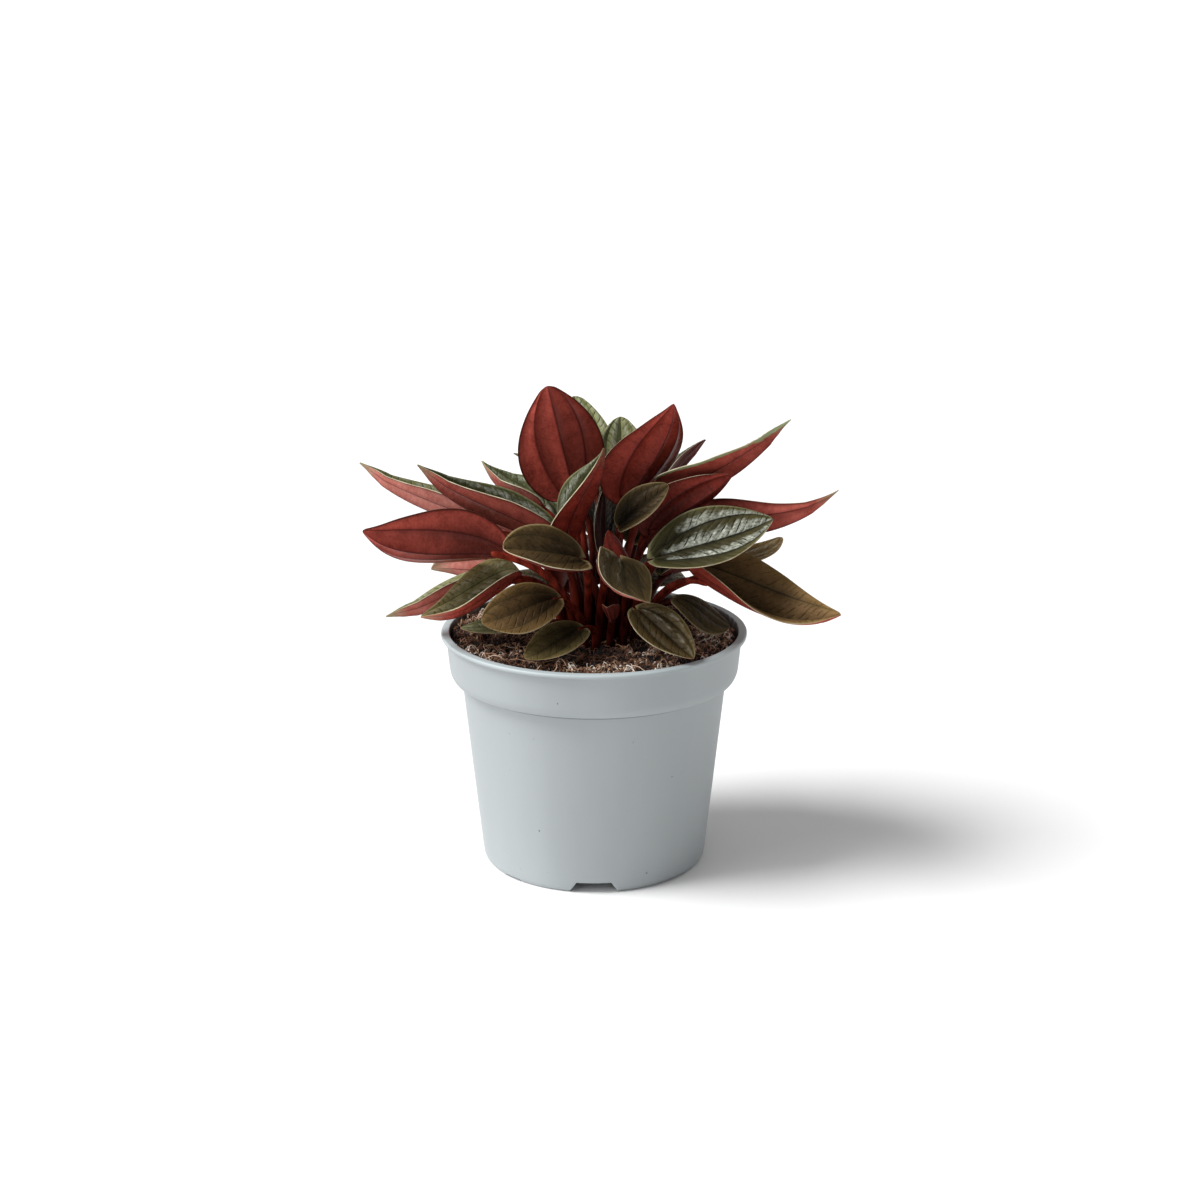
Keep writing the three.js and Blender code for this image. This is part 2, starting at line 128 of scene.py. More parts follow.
def far_light(name, azimuth, height, width, strength):
    """A far white light at an azimuth from the front and a height above the floor, with its apparent width. All
    three are in degrees."""
    data = bpy.data.lights.new(name, "SUN")
    data.angle = math.radians(width)
    data.energy = strength
    lamp = bpy.data.objects.new(name, data)
    turn, rise = math.radians(azimuth), math.radians(height)
    toward = Vector((math.sin(turn) * math.cos(rise), -math.cos(turn) * math.cos(rise), math.sin(rise)))
    lamp.location = toward
    lamp.rotation_euler = (-toward).to_track_quat("-Z", "Y").to_euler()
    bpy.context.scene.collection.objects.link(lamp)


corners = [(x * FLOOR_SIZE / 2, y * FLOOR_SIZE / 2, 0) for x, y in ((-1, -1), (1, -1), (1, 1), (-1, 1))]
floor_mesh = bpy.data.meshes.new("studio_floor")
floor_mesh.from_pydata(corners, [], [(0, 1, 2, 3)])
floor = bpy.data.objects.new("studio_floor", floor_mesh)
bpy.context.scene.collection.objects.link(floor)
paper, paper_tree, paper_shader = material("matt_white_paper")
feed(paper_tree, paper_shader, {"Base Color": "#F2F2F2", "Roughness": 0.9, "Specular IOR Level": 0.1})
floor_mesh.materials.append(paper)

far_light("key_light", azimuth=-80, height=51, width=32, strength=3.45)
far_light("low_side_light", azimuth=-64, height=15, width=36, strength=1.25)
far_light("far_right_fill", azimuth=125, height=16, width=40, strength=0.3)

world = bpy.data.worlds.new("white_surroundings")
world.use_nodes = True
feed(world.node_tree, world.node_tree.nodes["Background"], {"Color": "#FFFFFF", "Strength": 0.36})
bpy.context.scene.world = world
bpy.context.scene.view_settings.view_transform = "Standard"

# %% [markdown]
# ## Surfaces from grids
# Most pieces are a sheet of points with rows and columns. The points come from a formula as whole arrays, and one
# function turns any such sheet into a mesh. A sheet whose last column joins its first is a tube, and a tube whose
# ends are drawn into a point is a closed body. Numbers that the materials need go along as attributes of the points.


# %% Mesh from a grid of points
def tube_faces(rows, columns, first=0):
    """Corner numbers of each quad of a grid whose last column joins its first."""
    row, column = np.meshgrid(np.arange(rows - 1), np.arange(columns), indexing="ij")
    here, after = row * columns + column, row * columns + (column + 1) % columns
    return np.stack([here, after, after + columns, here + columns], -1).reshape(-1, 4) + first


def fan_faces(ring, hub, turned):
    """Triangles that close a ring of points with one point in its middle."""
    after = np.roll(ring, -1)
    middle = np.full_like(ring, hub)
    return np.stack([after, ring, middle] if turned else [ring, after, middle], -1)


class Sheet:
    """Points, faces, face kinds and named point values, gathered until they become one mesh."""

    def __init__(self):
        self.points, self.faces, self.kinds, self.values, self.count = [], [], [], {}, 0

    def add_points(self, points, values):
        """Adds points with their values, and gives the number of the first one."""
        self.points.append(points.reshape(-1, 3))
        size = len(self.points[-1])
        for name, value in values.items():
            value = np.broadcast_to(value, (*points.shape[:-1], np.shape(value)[-1])).reshape(size, -1)
            self.values.setdefault(name, []).append(value)
        self.count += size
        return self.count - size

    def tube(self, rings, kind, values, start, end):
        """A grid whose columns join. start and end are the points that close it. kind is one number or one a
        column: it says which material the faces have."""
        rows, columns = rings.shape[:2]
        first = self.add_points(rings, values)
        self.faces.append(tube_faces(rows, columns, first))
        self.kinds.append(np.tile(np.broadcast_to(kind, columns), rows - 1))
        for row, hub, turned in ((0, start, True), (rows - 1, end, False)):
            own = {name: value[row].mean(0) if np.ndim(value) == 3 else value for name, value in values.items()}
            middle = self.add_points(np.asarray(hub, float).reshape(1, 3), own)
            ring = first + row * columns + np.arange(columns)
            self.faces.append(fan_faces(ring, middle, turned))
            self.kinds.append(np.broadcast_to(kind, columns).copy())

    def make(self, name, materials, smooth=True):
        """Builds the mesh object. Points are in millimetres here and in metres in the mesh."""
        points = np.concatenate(self.points) * MM
        corners = np.concatenate([f.ravel() for f in self.faces])
        sizes = np.concatenate([np.full(len(f), f.shape[1]) for f in self.faces])
        mesh = bpy.data.meshes.new(name)
        mesh.vertices.add(len(points))
        mesh.vertices.foreach_set("co", points.ravel())
        mesh.loops.add(len(corners))
        mesh.loops.foreach_set("vertex_index", corners.astype(np.int32))
        mesh.polygons.add(len(sizes))
        mesh.polygons.foreach_set("loop_start", np.concatenate([[0], np.cumsum(sizes)[:-1]]).astype(np.int32))
        mesh.polygons.foreach_set("material_index", np.concatenate(self.kinds).astype(np.int32))
        mesh.polygons.foreach_set("use_smooth", np.full(len(sizes), smooth))
        for key, parts in self.values.items():
            data = np.concatenate(parts)
            if key == "map":
                layer = mesh.uv_layers.new(name="surface_map")
                layer.data.foreach_set("uv", (data[corners] * MM).astype(np.float32).ravel())
            else:
                layer = mesh.attributes.new(key, "FLOAT_VECTOR", "POINT")
                layer.data.foreach_set("vector", data.astype(np.float32).ravel())
        mesh.update()
        mesh.validate()
        for each in materials:
            mesh.materials.append(each)
        made = bpy.data.objects.new(name, mesh)
        bpy.context.scene.collection.objects.link(made)
        return made


def triangles(piece):
    """How many triangles a mesh has: each face has two fewer than its corners."""
    return len(piece.data.loops) - 2 * len(piece.data.polygons)


print("a tube of three rings of four points has", len(tube_faces(3, 4)), "quads")

# %% [markdown]
# ## Seeded noise
# Nature is uneven, and the unevenness has to be the same on each run. A lattice of random values, smoothed between
# its corners, gives lumps of one size. Lumps of several sizes added together give soil.


# %% Lattice noise
SEED_FACTOR, AXIS_FACTORS, MIX_FACTOR = 374761393, (668265263, 2246822519), 2654435761  # large and odd
LOW_32_BITS, LOW_24_BITS = np.uint64(0xFFFFFFFF), np.uint64(0xFFFFFF)


def lattice(cells, seed):
    """A random value from 0 to 1 for each whole-number cell [x, y]. The bits of x and y are mixed: multiply by a
    large odd number, shift, and add without carrying."""
    mixed = np.full(cells.shape[:-1], seed * SEED_FACTOR % 2**32, np.uint64)
    for axis, factor in enumerate(AXIS_FACTORS):
        whole = cells[..., axis].astype(np.int64).astype(np.uint64)
        mixed = (mixed ^ (whole * np.uint64(factor))) & LOW_32_BITS
        mixed = ((mixed ^ (mixed >> np.uint64(15))) * np.uint64(MIX_FACTOR)) & LOW_32_BITS
    return ((mixed ^ (mixed >> np.uint64(13))) & LOW_24_BITS) / float(LOW_24_BITS)


def noise(places, size, seed=1):
    """Smooth noise from -1 to 1 over [x, y]. Between the corners of a cell the values blend by 3f^2 - 2f^3."""
    at = places / size
    low = np.floor(at)
    part = at - low
    part = part * part * (3 - 2 * part)
    total = 0.0
    for corner in np.array([(0, 0), (1, 0), (0, 1), (1, 1)]):
        weight = np.prod(np.where(corner, part, 1 - part), axis=-1)
        total = total + weight * lattice(low + corner, seed)
    return total * 2 - 1


print("noise at three places:", np.round(noise(np.array([[0.5, 1.5], [3.2, 0.1], [7.7, 2.2]]), 1.0), 3))

# %% [markdown]
# ## The pot
# The pot is injection-moulded polypropylene with a thin wall: a narrow rounded lip, a deep collar that the pots hang
# by in a carrier, and a body that tapers so that pots stack. It could be turned with the Screw modifier, but a
# profile carried round the axis as one array also lets the foot be notched: near a notch the lowest points are lifted
# to the height of the notch, and columns are placed exactly at its corners so that its edges stay crisp.

# %% Pot sizes and profile
RIM_RADIUS, POT_HEIGHT, LIP_HEIGHT = 60.0, 93.5, 1.8
COLLAR_TOP_RADIUS, COLLAR_FOOT_RADIUS, COLLAR_FOOT_Z = 58.0, 56.6, 75.0
BODY_TOP_RADIUS, BODY_FOOT_RADIUS, FOOT_RADIUS, FOOT_RING_WIDTH = 52.0, 44.5, 43.0, 2.4
WALL, FLOOR_UNDERSIDE_Z, FLOOR_THICKNESS = 1.4, 4.8, 1.6
NOTCH_HEIGHT, NOTCH_TOP_WIDTH, NOTCH_FOOT_WIDTH = 4.4, 13.0, 19.6
SLOT_TURN, SLOT_HEIGHT, SLOT_WIDTH = 47.0, 0.9, 10.0
NOTCH_CORNERS = [NOTCH_TOP_WIDTH / 2, NOTCH_FOOT_WIDTH / 2 - 1, NOTCH_FOOT_WIDTH / 2]  # from its middle
NOTCH_TOE_HEIGHT = 0.9
SLOT_CORNERS = [SLOT_WIDTH / 2 - 1.5, SLOT_WIDTH / 2]
DRAIN_HOLES, DRAIN_HOLE_RADIUS, DRAIN_RING_RADIUS, HOLE_STEPS = 6, 3.5, 30.0, 28
LONGEST_STEP, TURN_STEP, LEAST_TURN = 4.0, 1.5, 0.12


def rounded(corners, steps=5):
    """A profile [radius, height, rounding] with each corner replaced by a curve that starts and ends at its rounding
    from the corner: the quadratic (1-s)^2 a + 2s(1-s) b + s^2 c."""
    corners = np.asarray(corners, float)
    place, size = corners[:, :2], corners[:, 2]
    made = [place[:1]]
    s = np.linspace(0, 1, steps)[:, None]
    for before, here, after, radius in zip(place, place[1:], place[2:], size[1:]):
        if radius == 0:
            made.append(here[None])
            continue
        back, on = before - here, after - here
        a = here + back / np.linalg.norm(back) * min(radius, np.linalg.norm(back) * 0.45)
        c = here + on / np.linalg.norm(on) * min(radius, np.linalg.norm(on) * 0.45)
        made.append((1 - s) ** 2 * a + 2 * s * (1 - s) * here + s**2 * c)
    made.append(place[-1:])
    return np.concatenate(made)


def subdivide(profile, longest):
    """Adds points to a profile so that no step is longer than longest."""
    parts = []
    for a, b in zip(profile, profile[1:]):
        count = max(1, math.ceil(np.linalg.norm(b - a) / longest))
        parts.append(a + (b - a) * np.arange(count)[:, None] / count)
    return np.concatenate([*parts, profile[-1:]])


ring_inside = FOOT_RADIUS - FOOT_RING_WIDTH
lip_z = POT_HEIGHT - LIP_HEIGHT
pot_profile = subdivide(rounded([
    (2.0, FLOOR_UNDERSIDE_Z, 0),
    (ring_inside - 0.6, FLOOR_UNDERSIDE_Z, 0.3),
    (ring_inside, 0, 0.25),
    (FOOT_RADIUS, 0, 0.5),
    (BODY_FOOT_RADIUS - 0.35, 1.5, 1.2),
    (BODY_FOOT_RADIUS, 4, 1.5),
    (BODY_TOP_RADIUS, COLLAR_FOOT_Z - 0.7, 0.4),
    (COLLAR_FOOT_RADIUS - 1.2, COLLAR_FOOT_Z + 0.1, 0.9),
    (COLLAR_FOOT_RADIUS, COLLAR_FOOT_Z + 2.6, 1.8),
    (COLLAR_TOP_RADIUS, lip_z, 0.35),
    (RIM_RADIUS - 0.1, lip_z, 0.6),
    (RIM_RADIUS, POT_HEIGHT - 0.1, 0.8),
    (COLLAR_TOP_RADIUS - WALL + 0.1, POT_HEIGHT, 0.5),
    (COLLAR_FOOT_RADIUS - WALL, COLLAR_FOOT_Z + 3, 1.2),
    (BODY_TOP_RADIUS - WALL, COLLAR_FOOT_Z - 1, 0.6),
    (BODY_FOOT_RADIUS - WALL, FLOOR_UNDERSIDE_Z + FLOOR_THICKNESS, 0.8),
    (2.0, FLOOR_UNDERSIDE_Z + FLOOR_THICKNESS, 0),
]), LONGEST_STEP)
print("pot profile:", len(pot_profile), "points")


# %% Turn the profile and notch the foot
def polar(radius, turn):
    """Points [x, y] at a radius and a turn in radians: [r cos a, r sin a]."""
    return np.stack([radius * np.cos(turn), radius * np.sin(turn)], -1)


def notch_lift(turn):
    """How far the foot is lifted at each angle from the front. A notch is a trapezium, a slot a shallow one. There
    is a notch every 120 degrees, with a slot on each side of it."""
    third = (turn + 60) % 120 - 60
    arc = np.abs(np.radians(third)) * FOOT_RADIUS
    notch = np.interp(arc, NOTCH_CORNERS, [NOTCH_HEIGHT, NOTCH_TOE_HEIGHT, 0])
    beside = np.abs(np.abs(third) - SLOT_TURN) * math.pi / 180 * FOOT_RADIUS
    slot = np.interp(beside, SLOT_CORNERS, [SLOT_HEIGHT, 0])
    return np.maximum(notch, slot)


def degrees_at(arc):
    """The angle that an arc along the foot spans: arc / radius."""
    return np.degrees(np.asarray(arc) / FOOT_RADIUS)


notch_corners, slot_corners = degrees_at(NOTCH_CORNERS), degrees_at(SLOT_CORNERS)
edges = np.concatenate([notch_corners, SLOT_TURN - slot_corners, SLOT_TURN + slot_corners])
edges = np.concatenate([edges, -edges])
turn = np.concatenate([np.arange(0, 360, TURN_STEP), *[(edges + k) % 360 for k in (0, 120, 240)]])
turn = np.unique(np.round(turn, 3))
turn = turn[np.concatenate([[True], np.diff(turn) > LEAST_TURN])]

radius, rise = pot_profile[:, :1], pot_profile[:, 1:]
height = np.maximum(rise, np.where(rise < NOTCH_HEIGHT, notch_lift(turn)[None], 0))
pot_rings = np.concatenate([polar(radius, np.radians(turn)[None] - math.pi / 2), height[..., None]], -1)
print("pot grid:", pot_rings.shape[:2])

# %% [markdown]
# Polypropylene from a mould is slightly waxy: its highlights are broad and soft, and a very fine spark-eroded grain
# keeps them from being mirror-like. A little upright streaking from the flow of the plastic, dust inside the lip and a
# few specks of soil are what the eye takes for a used nursery pot. A painted highlight along the top of the lip and
# a line of painted shade in the corner under the collar stand in for the light that falls there.

# %% Moulded polypropylene
# The scale of a noise is how many of its lumps go into a metre: 28 gives lumps of 36 mm, and 240 gives 4 mm.
polypropylene, tree, shader = material("moulded_polypropylene")
place = add(tree, "TexCoord", {}, "Object")

# Clouds 36 mm wide, drawn out upwards by the flow of the plastic, keep the grey from looking painted.
stretched = add(tree, "Mapping", {"Vector": place, "Scale": (1, 1, 0.12)})
cloud = add(tree, "TexNoise", {"Vector": stretched, "Scale": 28.0, "Detail": 3.0})
cloud = add(tree, "MapRange", {0: cloud, 1: 0.35, 2: 0.65})
colour = add(tree, "Mix", {0: cloud, 6: "#999FA1", 7: "#A1A7A9"}, 2, data_type="RGBA")

# Painted highlight: the topmost millimetre of the lip is lighter, where it catches the light.
level = add(tree, "SeparateXYZ", {0: place}, 2)
lip_highlight = add(tree, "MapRange", {0: level, 1: 0.0922, 2: 0.0934, 4: 0.6})

# The inside of the lip is dusted with soil. Smears of 4 mm break up the border of the dust.
in_plan = add(tree, "VectorMath", {0: place, 1: (1.0, 1.0, 0.0)}, operation="MULTIPLY")
radius_here = add(tree, "VectorMath", {0: in_plan}, 1, operation="LENGTH")
smear = add(tree, "TexNoise", {"Vector": place, "Scale": 240.0, "Detail": 3.0})
smear = add(tree, "Math", {0: smear, 1: 0.0014, 2: radius_here}, operation="MULTIPLY_ADD")
inside = add(tree, "MapRange", {0: smear, 1: 0.0572, 2: 0.0577, 3: 0.85, 4: 0.0})
above = add(tree, "MapRange", {0: level, 1: 0.0885, 2: 0.0900})
dusted = add(tree, "Math", {0: inside, 1: above}, operation="MULTIPLY")

# Painted shade: a dark line in the corner under the collar, where the collar overhangs the body.
collar_shade_foot = add(tree, "MapRange", {0: level, 1: 0.0734, 2: 0.0739, 4: 0.6})
collar_shade_top = add(tree, "MapRange", {0: level, 1: 0.0744, 2: 0.0750, 3: 1.0, 4: 0.0})
crease = add(tree, "Math", {0: collar_shade_foot, 1: collar_shade_top}, operation="MULTIPLY")

# A few specks of soil, less than 2.4 mm wide.
speck = add(tree, "TexNoise", {"Vector": place, "Scale": 420.0, "Detail": 1.0})
speck = add(tree, "MapRange", {0: speck, 1: 0.79, 2: 0.83})
for share, coat in ((lip_highlight, "#BCC9CB"), (dusted, "#4E4038"), (crease, "#494D4E"), (speck, "#6E6A66")):
    colour = add(tree, "Mix", {0: share, 6: colour, 7: coat}, 2, data_type="RGBA")

# The grain of the mould is about 0.1 mm, too fine to be drawn. It is drawn at 0.7 mm, and softens the highlight.
grain = add(tree, "TexNoise", {"Vector": place, "Scale": 1500.0, "Detail": 2.0})
bump = add(tree, "Bump", {"Height": grain, "Strength": 0.12, "Distance": 0.0002})
rough = add(tree, "MapRange", {0: cloud, 3: 0.46, 4: 0.56})
feed(tree, shader, {"Base Color": colour, "Normal": bump, "Roughness": rough, "IOR": 1.49})
print("material:", polypropylene.name)

# %% Make the pot
pot_sheet = Sheet()
pot_sheet.tube(pot_rings, 0, {}, start=(0, 0, FLOOR_UNDERSIDE_Z), end=(0, 0, FLOOR_UNDERSIDE_Z + FLOOR_THICKNESS))
pot = pot_sheet.make("moulded_pot", [polypropylene])

hole_turn = np.linspace(0, 2 * math.pi, HOLE_STEPS, endpoint=False)
for number in range(DRAIN_HOLES):
    across = 2 * math.pi * number / DRAIN_HOLES - math.pi / 2
    centre = DRAIN_RING_RADIUS * np.array([math.cos(across), math.sin(across)])
    ring = centre + polar(DRAIN_HOLE_RADIUS, hole_turn)
    levels = np.array([0.5, FLOOR_UNDERSIDE_Z + FLOOR_THICKNESS + 3])
    wall = np.stack([np.concatenate([ring, np.full((HOLE_STEPS, 1), z)], -1) for z in levels])
    cutter_sheet = Sheet()
    cutter_sheet.tube(wall, 0, {}, start=(*centre, levels[0]), end=(*centre, levels[1]))
    cutter = cutter_sheet.make("drain_cutter", [])
    cut = pot.modifiers.new("drain", "BOOLEAN")
    cut.operation = "DIFFERENCE"
    cut.solver = "EXACT"
    cut.object = cutter
    bpy.context.view_layer.update()
    finished = bpy.data.meshes.new_from_object(pot.evaluated_get(bpy.context.evaluated_depsgraph_get()))
    pot.modifiers.clear()
    pot.data = finished
    bpy.data.objects.remove(cutter)
pot.data.name = "moulded_pot"
pot.data.set_sharp_from_angle(angle=math.radians(32))
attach(pot, "root")
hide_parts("pot")
print("pot:", triangles(pot), "triangles")

# %% [markdown]
# ## The soil
# Potting soil is a mix of coir and peat. Seen close it has no surface at all: it is crumbs, short curly fibres and
# the dark gaps between them. So it is built in three layers: a lumpy dark bed that fills the pot, loose crumbs that
# lie on it, and fibres that curl out of it.

# %% Soil bed
SOIL_EDGE_Z, SOIL_FLOOR_Z, SOIL_MOUND, SOIL_LUMP = 91.0, 6.8, 0.6, 0.8
FINE_LUMPS = ((0.75, 5.2, 3), (0.65, 2.6, 4), (0.45, 1.3, 5), (0.2, 0.7, 6))  # height and width in mm, and seed
CROWN, HOLLOW, HOLLOW_DEPTH = np.array([4.0, 0.0]), np.array([-1.0, -25.0]), 3.4
SOIL_ROWS, SOIL_COLUMNS = 120, 360
BED_SINK = 0.4  # the bed lies a little low, because its lumps stand up from it
soil_reach = COLLAR_TOP_RADIUS - WALL - 0.45
rng = np.random.default_rng(7)


def in_hollow(flat, spread):
    """1 in the middle of the hollow and less around it: exp(-distance^2 / spread)."""
    return np.exp(-((flat[..., 0] - HOLLOW[0]) ** 2 + (flat[..., 1] - HOLLOW[1]) ** 2) / spread)


def soil_surface(flat):
    """Height of the soil over [x, y]: the mound and lumps of the plain solid, with four sizes of finer lumps on
    them, a rise towards the wall with a narrow gap along it, and a hollow just in front of the crown."""
    x, y = flat[..., 0], flat[..., 1]
    reach = np.hypot(x, y)
    mound = SOIL_MOUND * np.maximum(0, 1 - (reach / 50) ** 2)
    lumps = SOIL_LUMP * np.sin(x * 0.37 + 1.3 * np.sin(y * 0.21)) * np.cos(y * 0.41 + 0.9 * np.sin(x * 0.17))
    fine = sum(height * noise(flat, width, seed) for height, width, seed in FINE_LUMPS)
    wall_rise = 0.8 * np.clip((reach - 42) / 9, 0, 1) - 1.2 * np.clip((reach - 54.6) / 1.6, 0, 1) ** 2
    return SOIL_EDGE_Z - BED_SINK + mound + lumps + fine + wall_rise - HOLLOW_DEPTH * in_hollow(flat, 45)


soil_turn = np.linspace(0, 2 * math.pi, SOIL_COLUMNS, endpoint=False)
top = polar((soil_reach * np.linspace(0.004, 1, SOIL_ROWS) ** 0.8)[:, None], soil_turn)
top = np.concatenate([top, soil_surface(top)[..., None]], -1)
skirt = []
for reach, level in (  # down the inside of the pot, just clear of it
    (soil_reach - 0.1, 86),
    (COLLAR_FOOT_RADIUS - WALL - 0.4, 78.4),
    (BODY_TOP_RADIUS - WALL - 0.4, 73.8),
    (47, 40),
    (BODY_FOOT_RADIUS - WALL - 0.6, SOIL_FLOOR_Z),
    (20, SOIL_FLOOR_Z),
):
    skirt.append(np.concatenate([polar(reach, soil_turn), np.full((SOIL_COLUMNS, 1), float(level))], -1))
bed_rings = np.concatenate([top, np.stack(skirt)])[::-1]
heights = [round(float(z), 1) for z in (top[..., 2].min(), top[..., 2].max())]
print("soil bed grid:", bed_rings.shape[:2], "with its surface from", heights[0], "to", heights[1], "mm")

# %% [markdown]
# Wet peat is nearly black, and what makes potting soil look brown is the dry crumbs and fibres on it. They differ in
# tone from one to the next, so each carries a tone of its own as an attribute, and a chain of five colours turns it
# into anything from wet peat to bleached coir. It could be a colour ramp as well, but a chain shows how one works.

# %% Coir and peat
# The bed is dark and matt, with lumps of 1.1 mm that leave gaps between the crumbs.
peat, tree, shader = material("coir_and_peat")
place = add(tree, "TexCoord", {}, "Object")
fine = add(tree, "TexNoise", {"Vector": place, "Scale": 900.0, "Detail": 4.0, "Roughness": 0.7})
fine = add(tree, "MapRange", {0: fine, 1: 0.45, 2: 0.75})
colour = add(tree, "Mix", {0: fine, 6: "#070302", 7: "#28150C"}, 2, data_type="RGBA")
bump = add(tree, "Bump", {"Height": fine, "Strength": 0.8, "Distance": 0.0006})
feed(tree, shader, {"Base Color": colour, "Normal": bump, "Roughness": 0.9})

# Crumbs run from wet black to bleached, and fibres from brown to straw, with a little more shine.
toned = {}
for name, rough, tones in (
    ("peat_crumbs", 0.8, ("#0C0604", "#382218", "#7B5440", "#C9A68E", "#F6ECE0")),
    ("coir_fibre", 0.6, ("#2B1810", "#704832", "#AD805C", "#DFBFA2", "#FAF0E4")),
):
    toned[name], tree, shader = material(name)
    tone = add(tree, "Attribute", {}, "Vector", attribute_name="tone")
    tone = add(tree, "SeparateXYZ", {0: tone})
    colour = tones[0]
    for low, high, coat in zip((0.0, 0.3, 0.6, 0.9), (0.3, 0.6, 0.9, 1.0), tones[1:]):
        share = add(tree, "MapRange", {0: tone, 1: low, 2: high})
        colour = add(tree, "Mix", {0: share, 6: colour, 7: coat}, 2, data_type="RGBA")
    feed(tree, shader, {"Base Color": colour, "Roughness": rough})
crumb_finish, fibre_finish = toned["peat_crumbs"], toned["coir_fibre"]
print("materials:", peat.name, "and", list(toned))

# %% Make the soil bed
bed_sheet = Sheet()
bed_sheet.tube(bed_rings, 0, {}, start=(0, 0, SOIL_FLOOR_Z), end=(0, 0, float(soil_surface(np.zeros(2)))))
bed = bed_sheet.make("soil_bed", [peat])
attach(bed, "root")
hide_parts("soil")
print("soil bed:", triangles(bed), "triangles")

# %% [markdown]
# A particle system or geometry nodes could scatter the litter. Arrays are as short, and each crumb and thread can be
# a shape of its own: a crumb is a twenty-faced solid knocked out of shape, and a fibre is a thin tube that winds over
# the bed. Their number and sizes are those of a handful of real mix, with the finest dust left to the bed.


# %% Shapes of crumbs and fibres
CRUMBS = 8600
FIBRE_STEPS = 8


def scattered(count, reach):
    """Random places spread evenly over a disc: the radius goes as the square root of a random number."""
    far = reach * np.sqrt(rng.random(count))
    return polar(far, rng.random(count) * 2 * math.pi)


def icosahedron():
    """Twelve corners at (0, 1, golden ratio) and its turns, and the twenty faces between neighbours."""
    g = (1 + 5**0.5) / 2
    corners = np.array([(0, a, b * g) for a in (-1, 1) for b in (-1, 1)])
    corners = np.concatenate([corners, corners[:, [2, 0, 1]], corners[:, [1, 2, 0]]])
    apart = np.linalg.norm(corners[:, None] - corners[None], axis=-1)
    near = np.abs(apart - 2) < 0.01
    faces = [(i, j, k) for i, j, k in combinations(range(12), 3) if near[i, j] and near[j, k] and near[i, k]]
    faces = np.array(faces)
    a, b, c = corners[faces.T]
    inward = (np.cross(b - a, c - a) * a).sum(1) < 0
    faces[inward] = faces[inward][:, ::-1]
    return corners / np.linalg.norm(corners[0]), faces


def daylight(flat):
    """How light the litter is at [x, y]: painted shade under the crown and in the hollow, where little light
    reaches, and lighter in patches of a centimetre.
    """
    from_crown = np.hypot(*(flat - CROWN).T)
    patches = 0.6 + 0.95 * noise(flat, 9.0, 21) + 0.6 * noise(flat, 3.5, 22)
    return np.clip(patches, 0.1, 1) * np.clip((from_crown - 8) / 16, 0.1, 1) * (1 - 0.95 * in_hollow(flat, 60))


def crumbs(count):
    """Icosahedra with each corner pushed in or out at random, stretched and turned at random, resting on the bed.
    Their radii are 0.2 to 0.7 mm, and most are small."""
    corners, faces = icosahedron()
    size = 0.2 + 0.5 * rng.random(count) ** 2.5
    stretch = 0.6 + 0.8 * rng.random((count, 1, 3))
    pushed = corners[None] * (0.75 + 0.5 * rng.random((count, 12, 1))) * stretch * size[:, None, None]
    spin, lean = rng.random((2, count)) * 2 * math.pi
    zero, one = np.zeros(count), np.ones(count)
    cos, sin = np.cos(spin), np.sin(spin)
    about_z = np.stack([cos, -sin, zero, sin, cos, zero, zero, zero, one], -1).reshape(-1, 3, 3)
    cos, sin = np.cos(lean), np.sin(lean)
    about_x = np.stack([one, zero, zero, zero, cos, -sin, zero, sin, cos], -1).reshape(-1, 3, 3)
    turned = np.einsum("nij,njk,nck->nci", about_z, about_x, pushed)
    flat = scattered(count, soil_reach - 1.0)
    middle = np.concatenate([flat, (soil_surface(flat) + size * 0.35)[:, None]], -1)
    all_faces = (faces[None] + 12 * np.arange(count)[:, None, None]).reshape(-1, 3)
    # The tone is random, times daylight, which paints shade under the crown and in the hollow.
    tone = np.clip(rng.random(count) ** 1.4 * (0.24 + 1.2 * daylight(flat)), 0, 1)
    return turned + middle[:, None], all_faces, tone


